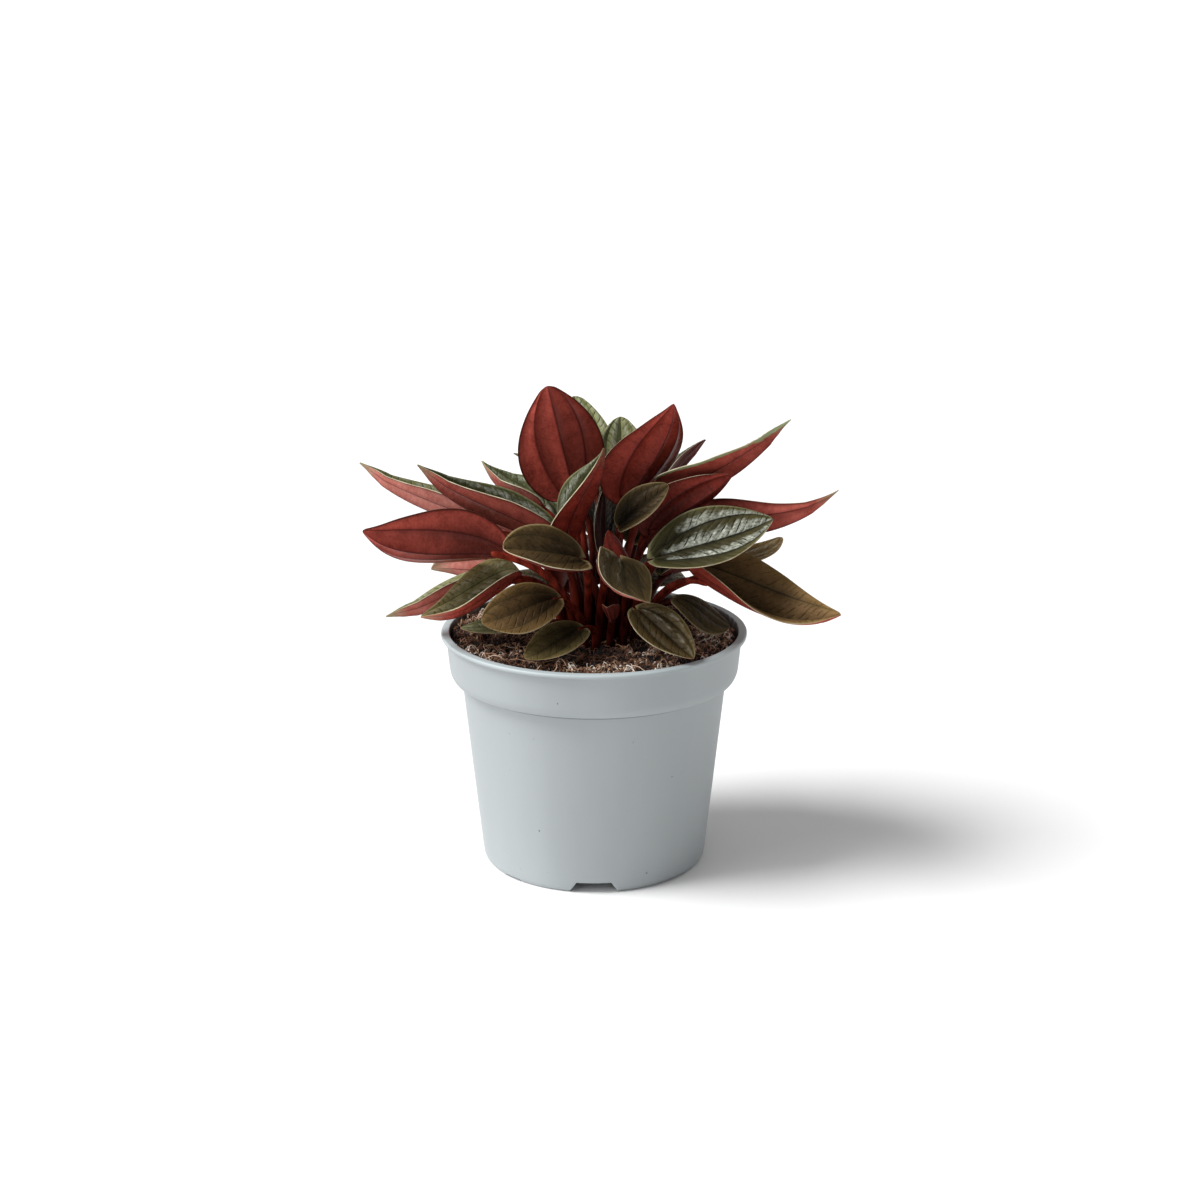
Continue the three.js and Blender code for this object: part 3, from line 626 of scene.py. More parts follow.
def fibres(count, length, curl, radii, lift):
    """Threads as a path with a three-sided section. The heading is start + curl s + a slow wobble, and the path is
    the running sum of its steps. Each thread rises out of the bed and comes down again as sin(pi s)."""
    s = np.linspace(0, 1, FIBRE_STEPS)[None]
    size = length[0] + (length[1] - length[0]) * rng.random((count, 1)) ** 1.5
    bend = (rng.random((count, 1)) - 0.5) * 2 * curl
    wobble = (rng.random((count, 1)) - 0.5) * 2.5
    heading = rng.random((count, 1)) * 2 * math.pi + bend * s + wobble * np.sin(s * 7 + rng.random((count, 1)) * 6)
    step = size / (FIBRE_STEPS - 1)
    flat = np.stack([np.cumsum(np.cos(heading) * step, 1), np.cumsum(np.sin(heading) * step, 1)], -1)
    flat = flat - flat.mean(1, keepdims=True) + scattered(count, soil_reach - 1.6)[:, None]
    reach = np.hypot(flat[..., 0], flat[..., 1])
    flat = flat * np.minimum(1, (soil_reach - 0.6) / np.maximum(reach, 1e-6))[..., None]
    rise = lift * rng.random((count, 1)) * np.sin(np.pi * s) + lift * 0.5 * (rng.random((count, 1)) - 0.35) * s
    path = np.concatenate([flat, (soil_surface(flat) + 0.1 + rise)[..., None]], -1)
    along = np.gradient(path, axis=1)
    along /= np.linalg.norm(along, axis=-1, keepdims=True) + 1e-9
    side = np.cross(along, np.array([0.0, 0.0, 1.0]))
    side /= np.linalg.norm(side, axis=-1, keepdims=True) + 1e-9
    over = np.cross(side, along)
    around = np.arange(3) * 2 * math.pi / 3
    girth = radii[0] + (radii[1] - radii[0]) * rng.random((count, 1, 1))
    girth = girth * (1 - 0.6 * (2 * s[..., None] - 1) ** 4)
    section = side[:, :, None] * np.cos(around)[:, None] + over[:, :, None] * np.sin(around)[:, None]
    rings = path[:, :, None] + girth[..., None] * section
    last = 3 * (FIBRE_STEPS - 1)
    offset = 3 * FIBRE_STEPS * np.arange(count)[:, None, None]
    quads = (tube_faces(FIBRE_STEPS, 3)[None] + offset).reshape(-1, 4)
    ends = (np.array([[2, 1, 0], [last, last + 1, last + 2]])[None] + offset).reshape(-1, 3)
    return rings.reshape(count, -1, 3), quads, ends, daylight(flat[:, FIBRE_STEPS // 2])


print("a crumb has", len(icosahedron()[1]), "faces, a fibre", len(tube_faces(FIBRE_STEPS, 3)), "quads and two ends")

# %% Scatter the crumbs and fibres
crumb_points, crumb_faces, crumb_tone = crumbs(CRUMBS)
crumb_sheet = Sheet()
crumb_sheet.add_points(crumb_points, {"tone": np.repeat(crumb_tone[:, None, None], 12, 1) * np.ones(3)})
crumb_sheet.faces.append(crumb_faces)
crumb_sheet.kinds.append(np.zeros(len(crumb_faces)))
loose_crumbs = crumb_sheet.make("soil_crumbs", [crumb_finish], smooth=False)

fibre_sheet = Sheet()
for count, length, curl, radii, lift, low_tone, high_tone in [  # millimetres, and curl in radians
    (2900, (1.5, 4.5), 5.5, (0.08, 0.17), 1.4, 0.1, 0.8),
    (1100, (2.5, 7.0), 4.5, (0.1, 0.2), 2.4, 0.45, 1.0),
    (60, (8.0, 18.0), 2.0, (0.12, 0.22), 2.8, 0.9, 1.0),
    (260, (2.5, 6.0), 3.0, (0.12, 0.2), 2.6, 1.0, 1.1),
]:
    points, quads, ends, light = fibres(count, length, curl, radii, lift)
    # The tone is random, times daylight, which paints shade under the crown and in the hollow.
    tone = (low_tone + (high_tone - low_tone) * rng.random((count, 1, 1))) * (0.3 + 0.85 * light[:, None, None])
    first = fibre_sheet.add_points(points, {"tone": np.repeat(tone, points.shape[1], 1) * np.ones(3)})
    fibre_sheet.faces += [quads + first, ends + first]
    fibre_sheet.kinds += [np.zeros(len(quads)), np.zeros(len(ends))]
coir = fibre_sheet.make("coir_fibres", [fibre_finish])
for piece in (loose_crumbs, coir):
    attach(piece, "root")
    print(piece.name, triangles(piece), "triangles")

# %% [markdown]
# ## The leaves
# A leaf is a blade on a stalk. The blade of this plant is lance-shaped and fleshy, and it is ribbed like corduroy:
# five veins run from the base to the tip and lie sunk in the upper face, and the flesh swells up between them. Finer
# veins cross the swellings at a slant and pucker them. The lower face follows, so there the veins stand out and the
# bands between them are shallow channels.
#
# Modelling forty-two blades by hand would take days. They all follow one rule instead, and a table says how each one
# grows: where its stalk stands, where its blade starts and ends, how wide it is, how far its halves are folded up,
# how it is rolled, how its midrib arches, and how strong its ribs are. A second table says how each one is finished.

# %% Table of leaves
# number: root, base, tip, width, fold, roll, arch, outline, lobe, ribs
# The root is millimetres from the crown and a direction in degrees, and base and tip are [x, y, z] in millimetres.
# Width is the widest, in millimetres. Fold and roll are degrees: fold turns the halves up, and roll turns the blade
# about its length. Arch is how far the midrib stands off the chord near base and tip, in millimetres, with two more
# numbers where it also bends sideways. Outline is the powers of its rise and tail, lobe how far the base sweeps back
# on each side of the stalk, and ribs how strong the relief is.
LEAVES = {
    1: ([6.2, 180], [-7.4, 11.3, 143.3], [-17.9, 4.4, 189], 35.5, 14, 119, [2, 0], [0.57, 0.92], 0.06, 1.5),
    2: ([6.2, 90], [1, 22, 145.5], [-8, 38, 178.5], 21, 18, 0, [2, 1], [0.6, 0.85], 0.2, 1),
    3: ([6.2, 45], [11, 20.5, 144.5], [10.5, 31.5, 171.5], 23, 20, 0, [2, 1], [0.6, 0.95], 0.2, 1),
    4: ([6.2, -45], [12.3, -2, 145.6], [30.1, -13.2, 185.7],
        35, 20, -34, [-1, -1.5, -1, -5.5], [0.7, 1.18], 0.19, 1.4),
    5: ([11.6, 20], [23.5, 13.5, 139.7], [44, 24.5, 163.7], 19, 25, -30, [2, 1], [0.6, 0.9], 0.2, 1),
    6: ([6.2, 0], [25.9, -0.4, 149.1], [74.4, -12.5, 179.6],
        35, 31, -13, [-13, -6, -1, 1.5], [0.58, 1.37], 0.13, 1.2),
    7: ([11.6, -28], [21, -13.5, 134.8], [52, -19.5, 159.6], 24, 30, -45, [2, -2], [0.6, 0.9], 0.2, 1.2),
    8: ([11.6, -4], [34, 2.8, 130.1], [92.3, -20.6, 154.2], 30, 37, -47, [-6, -15], [0.67, 1.41], 0.1, 1.2),
    9: ([11.6, -52], [23.4, -26.1, 129.2], [67.5, -23.4, 143.6],
        28.5, 19, 48, [1.5, 0, 1, 3.5], [0.78, 0.93], 0.24, 1.3),
    10: ([17, -14], [38.5, -14.5, 119.5], [92.2, -42, 111.5],
        36, 34, 29, [-4.5, -14.5, 4.5, 4.5], [0.47, 0.88], 0.22, 1),
    11: ([17, 3], [50, 10.5, 115.3], [75, 22, 124.5], 16, 12, 6, [0.5, -4.5, 0, 2.5], [0.65, 0.75], 0.15, 1),
    12: ([11.6, 92], [4, 24, 123], [3, 50, 138], 22, 25, 0, [3, 1], [0.6, 0.9], 0.2, 1),
    13: ([17, 163], [-29, 6, 130], [-92.5, 22, 155], 25, 42, 10, [-4, -9], [0.8, 1.1], 0.1, 1),
    14: ([11.6, 212], [-15.5, -10, 131.5], [-67, -12, 162], 30, 45, 0, [-3, -8], [0.6, 1.1], 0.1, 1),
    15: ([11.6, 188], [-19.8, 10, 140.2], [-44.3, 21, 156], 21, 42, 4, [-3.5, -7], [0.5, 1.1], 0.08, 1),
    16: ([11.6, 116], [-5, 21, 140], [-32, 30, 157], 12, 25, 20, [2, 0], [0.6, 0.9], 0.2, 1),
    17: ([17, 227], [-33.6, -23.2, 130.1], [-85.8, -37.4, 142.5],
        33.5, 40, 68, [1, -2, 1, 10.5], [0.75, 1.01], 0.11, 1.2),
    18: ([17, 147], [-35, 12, 112.5], [-65, 20, 112], 24, 20, 58, [3, 2], [0.6, 0.9], 0.2, 1),
    19: ([17, 179], [-34.8, 0.3, 114.9], [-80.2, -14.6, 102.6], 19.5, 42, 13, [0.5, -5.5], [0.69, 1.02], 0.2, 1),
    20: ([17, 195], [-28.3, -14.5, 119.5], [-65.6, -29, 106.7],
        25, 47, -10, [-1.5, -8, -0.5, -4.5], [0.46, 0.83], 0.06, 1),
    21: ([11.6, 236], [-5.5, -30.9, 130.5], [-33.1, -49.7, 139.1],
        25, 12, -39, [2.5, 1, -1, 0], [0.56, 0.72], 0.35, 0.6),
    22: ([17, 243], [-14, -26.2, 113.4], [-41.5, -44, 108.9], 21, 6, -40, [5, 2, -0.5, -3], [0.76, 0.73], 0.3, 0.6),
    23: ([17, 259], [-4.6, -26, 101.3], [-25.5, -47.2, 96], 16.5, 7, -22, [2.5, 0.5, 0, -2], [0.62, 0.73], 0.3, 0.6),
    24: ([17, 211], [-27.4, -15.3, 98.2], [-51.2, -17.2, 98.8],
        13, 7, -13, [2.5, 0, -0.5, -1], [0.59, 0.86], 0.2, 0.6),
    25: ([6.2, -90], [-7.8, -10.9, 131], [3.8, -27.1, 171.8], 34, 39, 81, [1.5, -4, 0.5, 2], [0.52, 1.25], 0.1, 1.2),
    26: ([11.6, -76], [9.8, -17, 139.2], [28.2, -22.1, 156.2], 16, 23, 60, [2, 0.5, -0.5, 2], [0.65, 0.73], 0.19, 1),
    27: ([0, 0], [4, -1, 124], [4, 1, 150], 16, 25, -90, [1, 1], [0.6, 0.9], 0.2, 1),
    28: ([17, -48], [14.2, -22.5, 123.6], [5.4, -24.3, 139.4], 12, 35, 90, [2, 0], [0.6, 0.9], 0.2, 1),
    29: ([11.6, -100], [10.5, -38.1, 131.5], [17.6, -54.8, 120.9],
        28.5, -1, -28, [2.5, -6, 2.5, 3.5], [0.4, 0.68], 0.53, 0.6),
    30: ([17, -65], [16.7, -24.4, 108.2], [37.2, -47.4, 96.1],
        18.5, 10, 21, [2.5, 1.5, 0.5, 1.5], [0.69, 0.83], 0.31, 1),
    31: ([17, -31], [32.1, -14.4, 109.8], [52, -18.8, 99.3], 19, -5, 11, [3, -2, 0, 2.5], [0.67, 0.63], 0.26, 0.7),
    32: ([17, -82], [7, -20, 103], [5, -28, 110], 9, 40, 0, [1, 1], [0.6, 0.9], 0.2, 1),
    33: ([17, 35], [30, 22, 122], [60, 44, 118], 24, 20, 0, [5, 2], [0.6, 0.85], 0.25, 1),
    34: ([17, 67], [15, 31, 123], [28, 57, 107], 26, 18, 0, [4, 3], [0.6, 0.85], 0.25, 1),
    35: ([17, 83], [-1, 31, 122], [-7, 58, 106], 25, 18, 0, [4, 3], [0.6, 0.85], 0.25, 1),
    36: ([17, 115], [-18, 24, 122], [-44, 46, 118], 25, 20, 0, [5, 2], [0.6, 0.85], 0.25, 1),
    37: ([17, 51], [17, 29, 104], [38, 56, 98], 22, 18, 28, [4, 2], [0.6, 0.8], 0.3, 1),
    38: ([17, 99], [-7, 29, 112.5], [-13, 47, 95], 29, 18, 40, [4, 2], [0.6, 0.8], 0.3, 1),
    39: ([17, 131], [-19, 25, 104], [-48, 46, 97], 18, 18, 0, [4, 2], [0.6, 0.8], 0.3, 1),
    40: ([17, 19], [28, 19, 110.5], [57, 38, 105.5], 20, 18, -15, [4, 2], [0.6, 0.8], 0.3, 1),
    41: ([11.6, 44], [16, 20, 124], [32, 36, 150], 23, 25, 0, [3, 1], [0.6, 0.9], 0.2, 1),
    42: ([11.6, 140], [-14, 16, 127], [-36, 40, 141], 25, 25, 0, [3, 1], [0.6, 0.9], 0.2, 1),
}
CUPPED = {10: (0, 40)}  # degrees that the halves of a leaf are turned up further at its base

CUP_END = 0.9  # the share of the length where cupping has faded
BLADE_THICKNESS, HEM_DEPTH = 1.1, 0.3
RIDGE_HEIGHT, OUTER_RIDGE = 1.15, 0.6
VEIN_START, VEIN_DRIFT = 0.42, 0.4
PUCKER_DEPTH, PUCKER_PITCH = 0.3, 3.3
HOOK_RISE, HOOK_LENGTH, WAVE_HEIGHT = 2.6, 12.0, 0.35
ROW_STEP, COLUMN_STEP = 0.5, 0.42
STALK_RADIUS, STALK_TOP_RADIUS, STALK_DEPTH, STALK_STRAIGHT = 1.6, 1.3, 8.0, 3.0
print("leaves:", len(LEAVES))

# %% [markdown]
# No two leaves have the same finish. Old leaves turn brown and dull, young ones are fresh green, and a leaf deep in
# the crown gets little light. So each leaf has a few numbers of its own, and takes the plain value for the others:
#
# - silver, how silvery the swellings are; lean, 1 where it lies on one flank of a swelling and 0 in the middle; on a
#   flank it also paints in the sheen that the flank catches
# - brown and fresh, its pigments; pink, the painted rose of light coming through; shade, painted light or shade that
#   makes the whole leaf lighter or darker; heart, painted shade towards base and middle
# - rim, how pale the margin is; curl and edge, how far each margin turns up and how thick it is, in millimetres
# - point, 1 for a drawn-out and hooked tip; blunt, the radius of a tip that isn't; pucker, how strong the cross
#   veins are; green, the millimetres along each margin of the lower face that the red leaves free
#
# A pair of numbers is for the left and the right half.

# %% Table of finishes
PLAIN_LOOK = dict(
    silver=0.3, lean=0.0, brown=0.3, pink=0.2, fresh=0.1, shade=1.0, heart=0.3, rim=0.6,
    curl=0.0, edge=0.32, point=0.0, blunt=0.6, pucker=1.0, green=0.0,
)
LOOKS = {
    1: dict(pink=0.12, rim=0.1, heart=0.22, shade=1.2, blunt=1.5),
    2: dict(silver=0.4, brown=0.2, shade=1.4, fresh=0.9, heart=0.1, blunt=1.8),
    3: dict(silver=0.35, brown=0.3, fresh=0.6, heart=0.3, shade=1.15, blunt=1.5),
    4: dict(pink=0.05, rim=0.3, heart=0.3, shade=1.05, blunt=0.9),
    5: dict(pink=0.0, shade=0.45),
    6: dict(brown=0.35, pink=0.15, fresh=0.2, rim=0.9, shade=1.2, point=1.0, green=(0.0, 1.8)),
    7: dict(pink=0.0, shade=0.52, heart=0.5),
    8: dict(pink=0.25, rim=0.4, shade=0.95, point=0.8),
    9: dict(silver=(1.0, 0.9), lean=1.0, brown=0.35, pink=0.1, shade=0.72, heart=0.7, rim=0.8, curl=(0.0, 2.0),
        edge=(0.32, 1.2), blunt=0.5, pucker=1.4),
    10: dict(silver=0.05, brown=1.0, pink=0.1, shade=1.5, heart=0.5, rim=0.6, blunt=0.5, pucker=0.4),
    11: dict(brown=1.0, pink=0.5, fresh=0.2, shade=1.5),
    12: dict(silver=0.0, brown=1.0, shade=0.12, heart=0.8),
    13: dict(brown=0.3, pink=0.75, fresh=0.6, shade=1.1, heart=0.1, rim=0.8, point=1.0),
    14: dict(silver=0.35, brown=0.15, pink=0.25, fresh=0.05, rim=1.0, heart=0.4, shade=0.9, point=0.9),
    15: dict(silver=0.4, brown=0.1, pink=0.3, fresh=0.2, rim=0.9, heart=0.2, shade=1.35, point=1.0),
    16: dict(fresh=0.4, shade=0.6, point=1.0),
    17: dict(brown=0.3, pink=0.14, heart=0.9, rim=0.1, shade=1.32, blunt=0.9),
    18: dict(pink=1.0, shade=1.3, fresh=0.3, heart=0.0, point=0.8),
    19: dict(pink=0.6, fresh=0.9, shade=1.25, rim=0.9, point=1.0),
    20: dict(silver=(0.15, 0.25), brown=0.8, pink=0.1, fresh=0.45, shade=1.5, heart=0.35, rim=1.0, point=0.5),
    21: dict(silver=0.08, brown=0.9, pink=0.4, shade=0.95, heart=0.7, rim=1.1, curl=(1.8, 0.0),
        edge=(2.0, 0.32), blunt=0.5),
    22: dict(silver=0.0, brown=1.0, pink=0.3, shade=1.05, heart=0.95, rim=0.6, curl=(0.7, 0.0), blunt=0.25,
        pucker=0.6),
    23: dict(silver=0.05, brown=0.65, pink=0.3, fresh=0.15, shade=1.1, heart=0.95, rim=0.6, curl=(0.5, 0.0),
        blunt=0.25),
    24: dict(brown=0.1, fresh=0.35, heart=0.1, shade=1.4, blunt=0.4),
    25: dict(silver=0.35, brown=0.15, pink=0.0, fresh=0.1, heart=0.35, shade=0.8, rim=1.0, point=0.3),
    26: dict(silver=(0.0, 0.05), brown=0.85, pink=0.0, shade=0.5, heart=1.0, rim=0.6, blunt=0.3),
    27: dict(pink=0.0, shade=0.12),
    28: dict(pink=0.0, shade=0.6, heart=0.1, rim=0.8),
    29: dict(silver=(0.08, 0.2), brown=0.85, pink=0.6, fresh=0.15, heart=0.75, rim=0.9, curl=(0.0, 1.8),
        edge=(0.6, 1.8), blunt=1.6),
    30: dict(silver=(0.2, 0.02), brown=0.75, pink=0.3, shade=0.68, heart=0.5, rim=0.7, curl=(0.0, 1.0),
        edge=(0.32, 0.8), blunt=0.15),
    31: dict(silver=0.0, brown=0.6, shade=0.62, heart=0.5, rim=0.5, blunt=0.3),
    32: dict(brown=0.6, shade=0.5),
    33: dict(silver=0.8, brown=0.1),
    34: dict(silver=0.2, brown=0.7, shade=0.4, heart=0.8),
    35: dict(silver=0.3, brown=0.5, shade=0.5, heart=0.8),
    36: dict(brown=0.6),
    37: dict(brown=0.7),
    38: dict(brown=1.0, silver=0.1, shade=0.5, heart=0.8),
    39: dict(brown=0.5),
    40: dict(silver=0.2, brown=0.6, shade=0.5),
    41: dict(silver=0.0, brown=1.0, shade=0.3, heart=0.7),
    42: dict(silver=0.7, brown=0.1),
}


def look_of(number):
    """The looks of a leaf: the plain ones, with its own in their place."""
    return {**PLAIN_LOOK, **LOOKS[number]}


print("looks of leaf 1:", look_of(1))


# %% Axes and midrib of a leaf
def unit(v):
    """Vectors of length 1 that point the same way: v / |v|."""
    return v / np.linalg.norm(v, axis=-1, keepdims=True)


def turned_about(v, axis, degrees):
    """Rodrigues' rule: v cos a + (axis x v) sin a + axis (axis . v)(1 - cos a)."""
    a = math.radians(degrees)
    return v * math.cos(a) + np.cross(axis, v) * math.sin(a) + axis * (axis @ v) * (1 - math.cos(a))


def stalk_foot(root):
    """Where a stalk leaves the soil: so many millimetres from the crown, in a direction in degrees."""
    direction = math.radians(root[1])
    return np.array([*(CROWN + root[0] * np.array([math.cos(direction), math.sin(direction)])), SOIL_EDGE_Z])


def leaf_axes(foot, base, tip, roll):
    """Along the chord, to the side, and out of the upper face. The upper face looks up and back to the stalk."""
    along = unit(tip - base)
    outward = unit((tip - foot) * [1, 1, 0])
    upper = -along[2] * outward + math.sqrt(max(0, 1 - along[2] ** 2)) * np.array([0, 0, 1.0])
    upper = turned_about(unit(upper - along * (upper @ along)), along, roll)
    return along, np.cross(along, upper), upper


def bezier(points, t):
    """Cubic curve and its direction: weights (1-t)^3, 3t(1-t)^2, 3t^2(1-t), t^3."""
    t = np.asarray(t, float)[..., None]
    a, b, c, d = points
    place = (1 - t) ** 3 * a + 3 * t * (1 - t) ** 2 * b + 3 * t**2 * (1 - t) * c + t**3 * d
    slope = 3 * (1 - t) ** 2 * (b - a) + 6 * t * (1 - t) * (c - b) + 3 * t**2 * (d - c)
    return place, unit(slope)


def outline(t, shape, length, reach, blunt):
    """Half width in millimetres: (t + 0.035)^rise (1 + over - t)^tail times the widest reach, where over is a little
    of the length left out at the tip. Base and tip close as quarter ellipses, the tip within the length blunt."""
    rise, tail = shape
    before = 0.035
    over = 0.7 * blunt / length
    widest = (rise * (1 + over) - tail * before) / (rise + tail)
    most = (widest + before) ** rise * (1 + over - widest) ** tail
    flank = reach * (t + before) ** rise * (1 + over - t) ** tail / most
    ends = np.stack([t / 0.05, (1 - t) * length / blunt])
    return flank * np.sqrt(1 - (1 - np.clip(ends, 0, 1)) ** 2).prod(0)


print("a tenth of the way along, a leaf is", round(float(outline(np.array([0.1]), (0.6, 0.9), 40, 10, 0.6)[0]), 1),
      "mm wide on each side of 10")

# %% [markdown]
# The relief of a blade is worked out on its own. Columns are numbered by vein: 0 is the midrib, 1 the side vein and
# 2 the margin of each half. Between two veins the flesh swells as a sine, so the veins are creases. Oblique cross
# veins are a second, shallower set of creases, and noise unsettles their places and lets some of them fade out. The
# relief is also handed to the material, which paints shade into the creases and silvers the swellings: colour and
# shape agree.


# %% Relief of a blade
def share_across(column, t):
    """Where a column lies as a share of the half width. The side vein drifts to the margin as t^1.5."""
    vein = VEIN_START + VEIN_DRIFT * t**1.5
    side = np.abs(column)
    return np.where(side <= 1, side * vein, vein + (side - 1) * (1 - vein))


def relief(column, t, distance, length, seed):
    """Swelling between the veins as |sin(pi column)|, rounded where it nears 0, and the phase of the cross veins,
    which is whole on each one: (way along - way across) / pitch, plus noise. The swelling between two cross
    veins is |sin(pi phase)|."""
    side = np.abs(column)
    wave = np.abs(np.sin(np.pi * side))
    swell = np.sqrt(wave**2 + 0.01) - 0.1
    along = t * length
    spot = np.stack([along, distance * 0.8 + seed * 31.0], -1)
    phase = (along - np.abs(distance)) / PUCKER_PITCH + 0.25 * np.tanh(distance) + 0.28 * noise(spot, 5.0, 11)
    strength = np.clip(0.6 + 0.8 * noise(spot, 9.0, 12), 0.15, 1)
    strength = strength * np.clip(t / 0.12, 0, 1) * np.clip((1 - t) / 0.15, 0, 1)
    pucker = (1 - np.abs(np.sin(np.pi * phase)) ** 0.7) * wave**0.7 * strength
    return swell * np.where(side > 1, OUTER_RIDGE, 1.0), swell, phase, pucker


def columns_across(width):
    """Columns across a blade, a little under half a millimetre apart, with one exactly on each vein and margin."""
    parts = []
    for start, share in ((0, 0.62), (1, 0.38)):
        count = max(4, round(share * width / 2 / COLUMN_STEP))
        parts.append(start + np.arange(count) / count)
    half = np.concatenate([*parts, [2.0]])
    return np.concatenate([-half[:0:-1], half])


def rows_along(length):
    """Shares of the length, closer together at base and tip: a third of a cosine ramp and two thirds of a line."""
    count = max(30, round(length / ROW_STEP))
    t = (1 - np.cos(np.linspace(0.06, math.pi, count))) / 2 * 0.35 + np.linspace(0.0, 1, count) * 0.65
    return np.clip(t - t[0] + 0.0015, 0, 0.9985)


print("columns across a blade 20 mm wide:", len(columns_across(20)), "rows along 50 mm:", len(rows_along(50)))


# %% One blade
class Blade:
    """The grid of one blade: down is the way along as a share of its length, across the way from the midrib as a
    share of the half width, and the column numbers its veins."""

    def __init__(self, number):
        root, base, tip, self.width, self.fold, roll, arch, shape, self.lobe, self.ribs = LEAVES[number]
        self.look, self.seed = look_of(number), number - 1
        base, tip = np.array(base, float), np.array(tip, float)
        self.foot = stalk_foot(root)
        along, self.side, self.upper = leaf_axes(self.foot, base, tip, roll)
        self.length = np.linalg.norm(tip - base)
        self.curve = self.midrib(base, tip, along, arch)
        self.steps = columns_across(self.width)
        t = rows_along(self.length)
        self.column, self.down = np.meshgrid(self.steps, t)
        self.along, self.to_tip = self.down * self.length, (1 - self.down) * self.length
        self.place_rows(t)
        across = share_across(self.column, self.down) * np.sign(self.column)
        blunt = 0.35 + self.look["blunt"] * (1 - self.look["point"])
        self.half = outline(t, shape, self.length, self.width / 2, blunt)[:, None]
        self.across, self.reach = across, np.abs(across) * self.half
        self.distance = np.sign(across) * self.reach
        cup = self.per_half(CUPPED.get(number, 0)) * np.clip(1 - self.down / CUP_END, 0, None)
        self.lean = np.radians(self.fold + cup)
        self.height, self.swell, self.phase, self.crease = relief(
            self.column, self.down, self.distance, self.length, self.seed
        )

    def midrib(self, base, tip, along, arch):
        """Four points of a cubic. The inner two stand off the chord, up by the arch and sideways by the sweep."""
        near_base, near_tip, base_sweep, tip_sweep = [*arch, 0, 0][:4]
        third = along * self.length / 3
        low = base + third + self.upper * near_base + self.side * base_sweep
        high = tip - third + self.upper * near_tip + self.side * tip_sweep
        return [base, low, high, tip]

    def place_rows(self, t):
        """Rows on the midrib. A drawn-out point is lifted by h (1 - h), where h grows from 0 to 1 over its hook."""
        middle, self.direction = bezier(self.curve, t)
        self.up = unit(np.cross(self.side, self.direction))
        hook = np.clip(1 - (1 - t) * self.length / HOOK_LENGTH, 0, 1)
        self.middle = middle + self.up * (HOOK_RISE * self.look["point"] * hook * (1 - hook))[:, None]

    def per_half(self, pair):
        """The first number of a pair on the left half and the second on the right one. One number is for both."""
        return np.where(self.column < 0, *np.broadcast_to(pair, 2))

    def face(self, rise, out=0.0):
        """Points: midrib + side (reach cos lean + out) + up rise, the base lobes swept back by across squared."""
        swept = self.lobe * self.width / 2 * self.across**2 * (1 - self.down) ** 5
        sideways = np.sign(self.across) * (self.reach * np.cos(self.lean) + out)
        flat = self.middle[:, None] + self.side * sideways[..., None]
        return flat + self.up[:, None] * rise[..., None] - self.direction[:, None] * swept[..., None]

    def rings(self):
        """Upper face, pale edge and lower face. The faces carry the ridges and puckers, the lower one less the
        thickness and with a rib on the midrib. The thickness falls to the margin as across^5, and the margins wave
        as across^3 and curl up as across^8."""
        full = np.minimum(1, self.half / 8)
        by_half = np.stack([self.along + self.seed * 17, np.sign(self.across) * 5.0], -1)
        wave = WAVE_HEIGHT * np.abs(self.across) ** 3 * noise(by_half, 9.0, 13) * full
        ridge = RIDGE_HEIGHT * self.ribs * full * self.height
        pucker = PUCKER_DEPTH * self.look["pucker"] * self.ribs * full * self.crease
        taper = 0.3 + 0.7 * np.clip(self.to_tip / 7, 0, 1)
        hem = self.per_half(self.look["edge"]) * np.clip(self.to_tip / 12, 0.3, 1)
        flesh = BLADE_THICKNESS + (hem - BLADE_THICKNESS) * np.abs(self.across) ** 5
        body = taper * flesh / math.cos(math.radians(self.fold))
        curl = self.per_half(self.look["curl"]) * self.across**8 * np.sqrt(np.sin(np.pi * self.down**0.8))
        rib = 0.5 * taper * np.exp(-((self.reach / 0.9) ** 2)) * (1 - self.down) ** 0.7
        soft = 0.6 * (1 - np.exp(-((self.reach / 0.8) ** 2))) - 0.6
        lift = self.reach * np.sin(self.lean) + wave + curl - soft * np.sin(np.abs(self.lean)) * 0.5
        top = self.face(lift + ridge - pucker)
        drawn_in = -0.35 * np.clip(hem - 0.3, 0, None) * np.abs(self.across) ** 12
        under = self.face(lift + ridge * 1.1 - pucker * 0.3 - body - rib, drawn_in)[:, ::-1]
        pale_edge = self.face(lift - np.minimum(HEM_DEPTH, body * 0.8), np.minimum(0.12, body * 0.3))
        return np.concatenate([top, pale_edge[:, -1:], under, pale_edge[:, :1]], 1)

    def silvering(self):
        """Where the flesh is silvered: a bell over the middle of each swelling, or a ragged step on its flank. The
        silver is the leaf's own; on a flank it also paints in the sheen that the flank catches.
        """
        over = np.abs(self.column) - (np.abs(self.column) > 1)
        flank = np.where(self.column < 0, over, 1 - over)
        strokes = np.stack([self.along - self.reach, (self.along + self.reach) * 0.25], -1) + self.seed * 9.0
        ragged = 0.12 * noise(strokes, 0.8, 14) + 0.12 * noise(strokes, 2.6, 15)
        inner = np.abs(self.column) <= 1
        limit, outer_silver = self.per_half((0.42, 0.27)), self.per_half((0.7, 0.2))
        begun = np.clip((self.down - np.where(inner, 0.03, 0.2)) / 0.12, 0, 1)
        on_flank = begun / (1 + np.exp((flank + ragged - limit) / 0.1)) * np.where(inner, 1, outer_silver)
        leaning = self.look["lean"]
        silver = (1 - leaning) * np.exp(-(((over - 0.5) / 0.27) ** 2)) + leaning * on_flank
        return silver * self.per_half(self.look["silver"]) * np.clip(self.swell * 5, 0, 1)

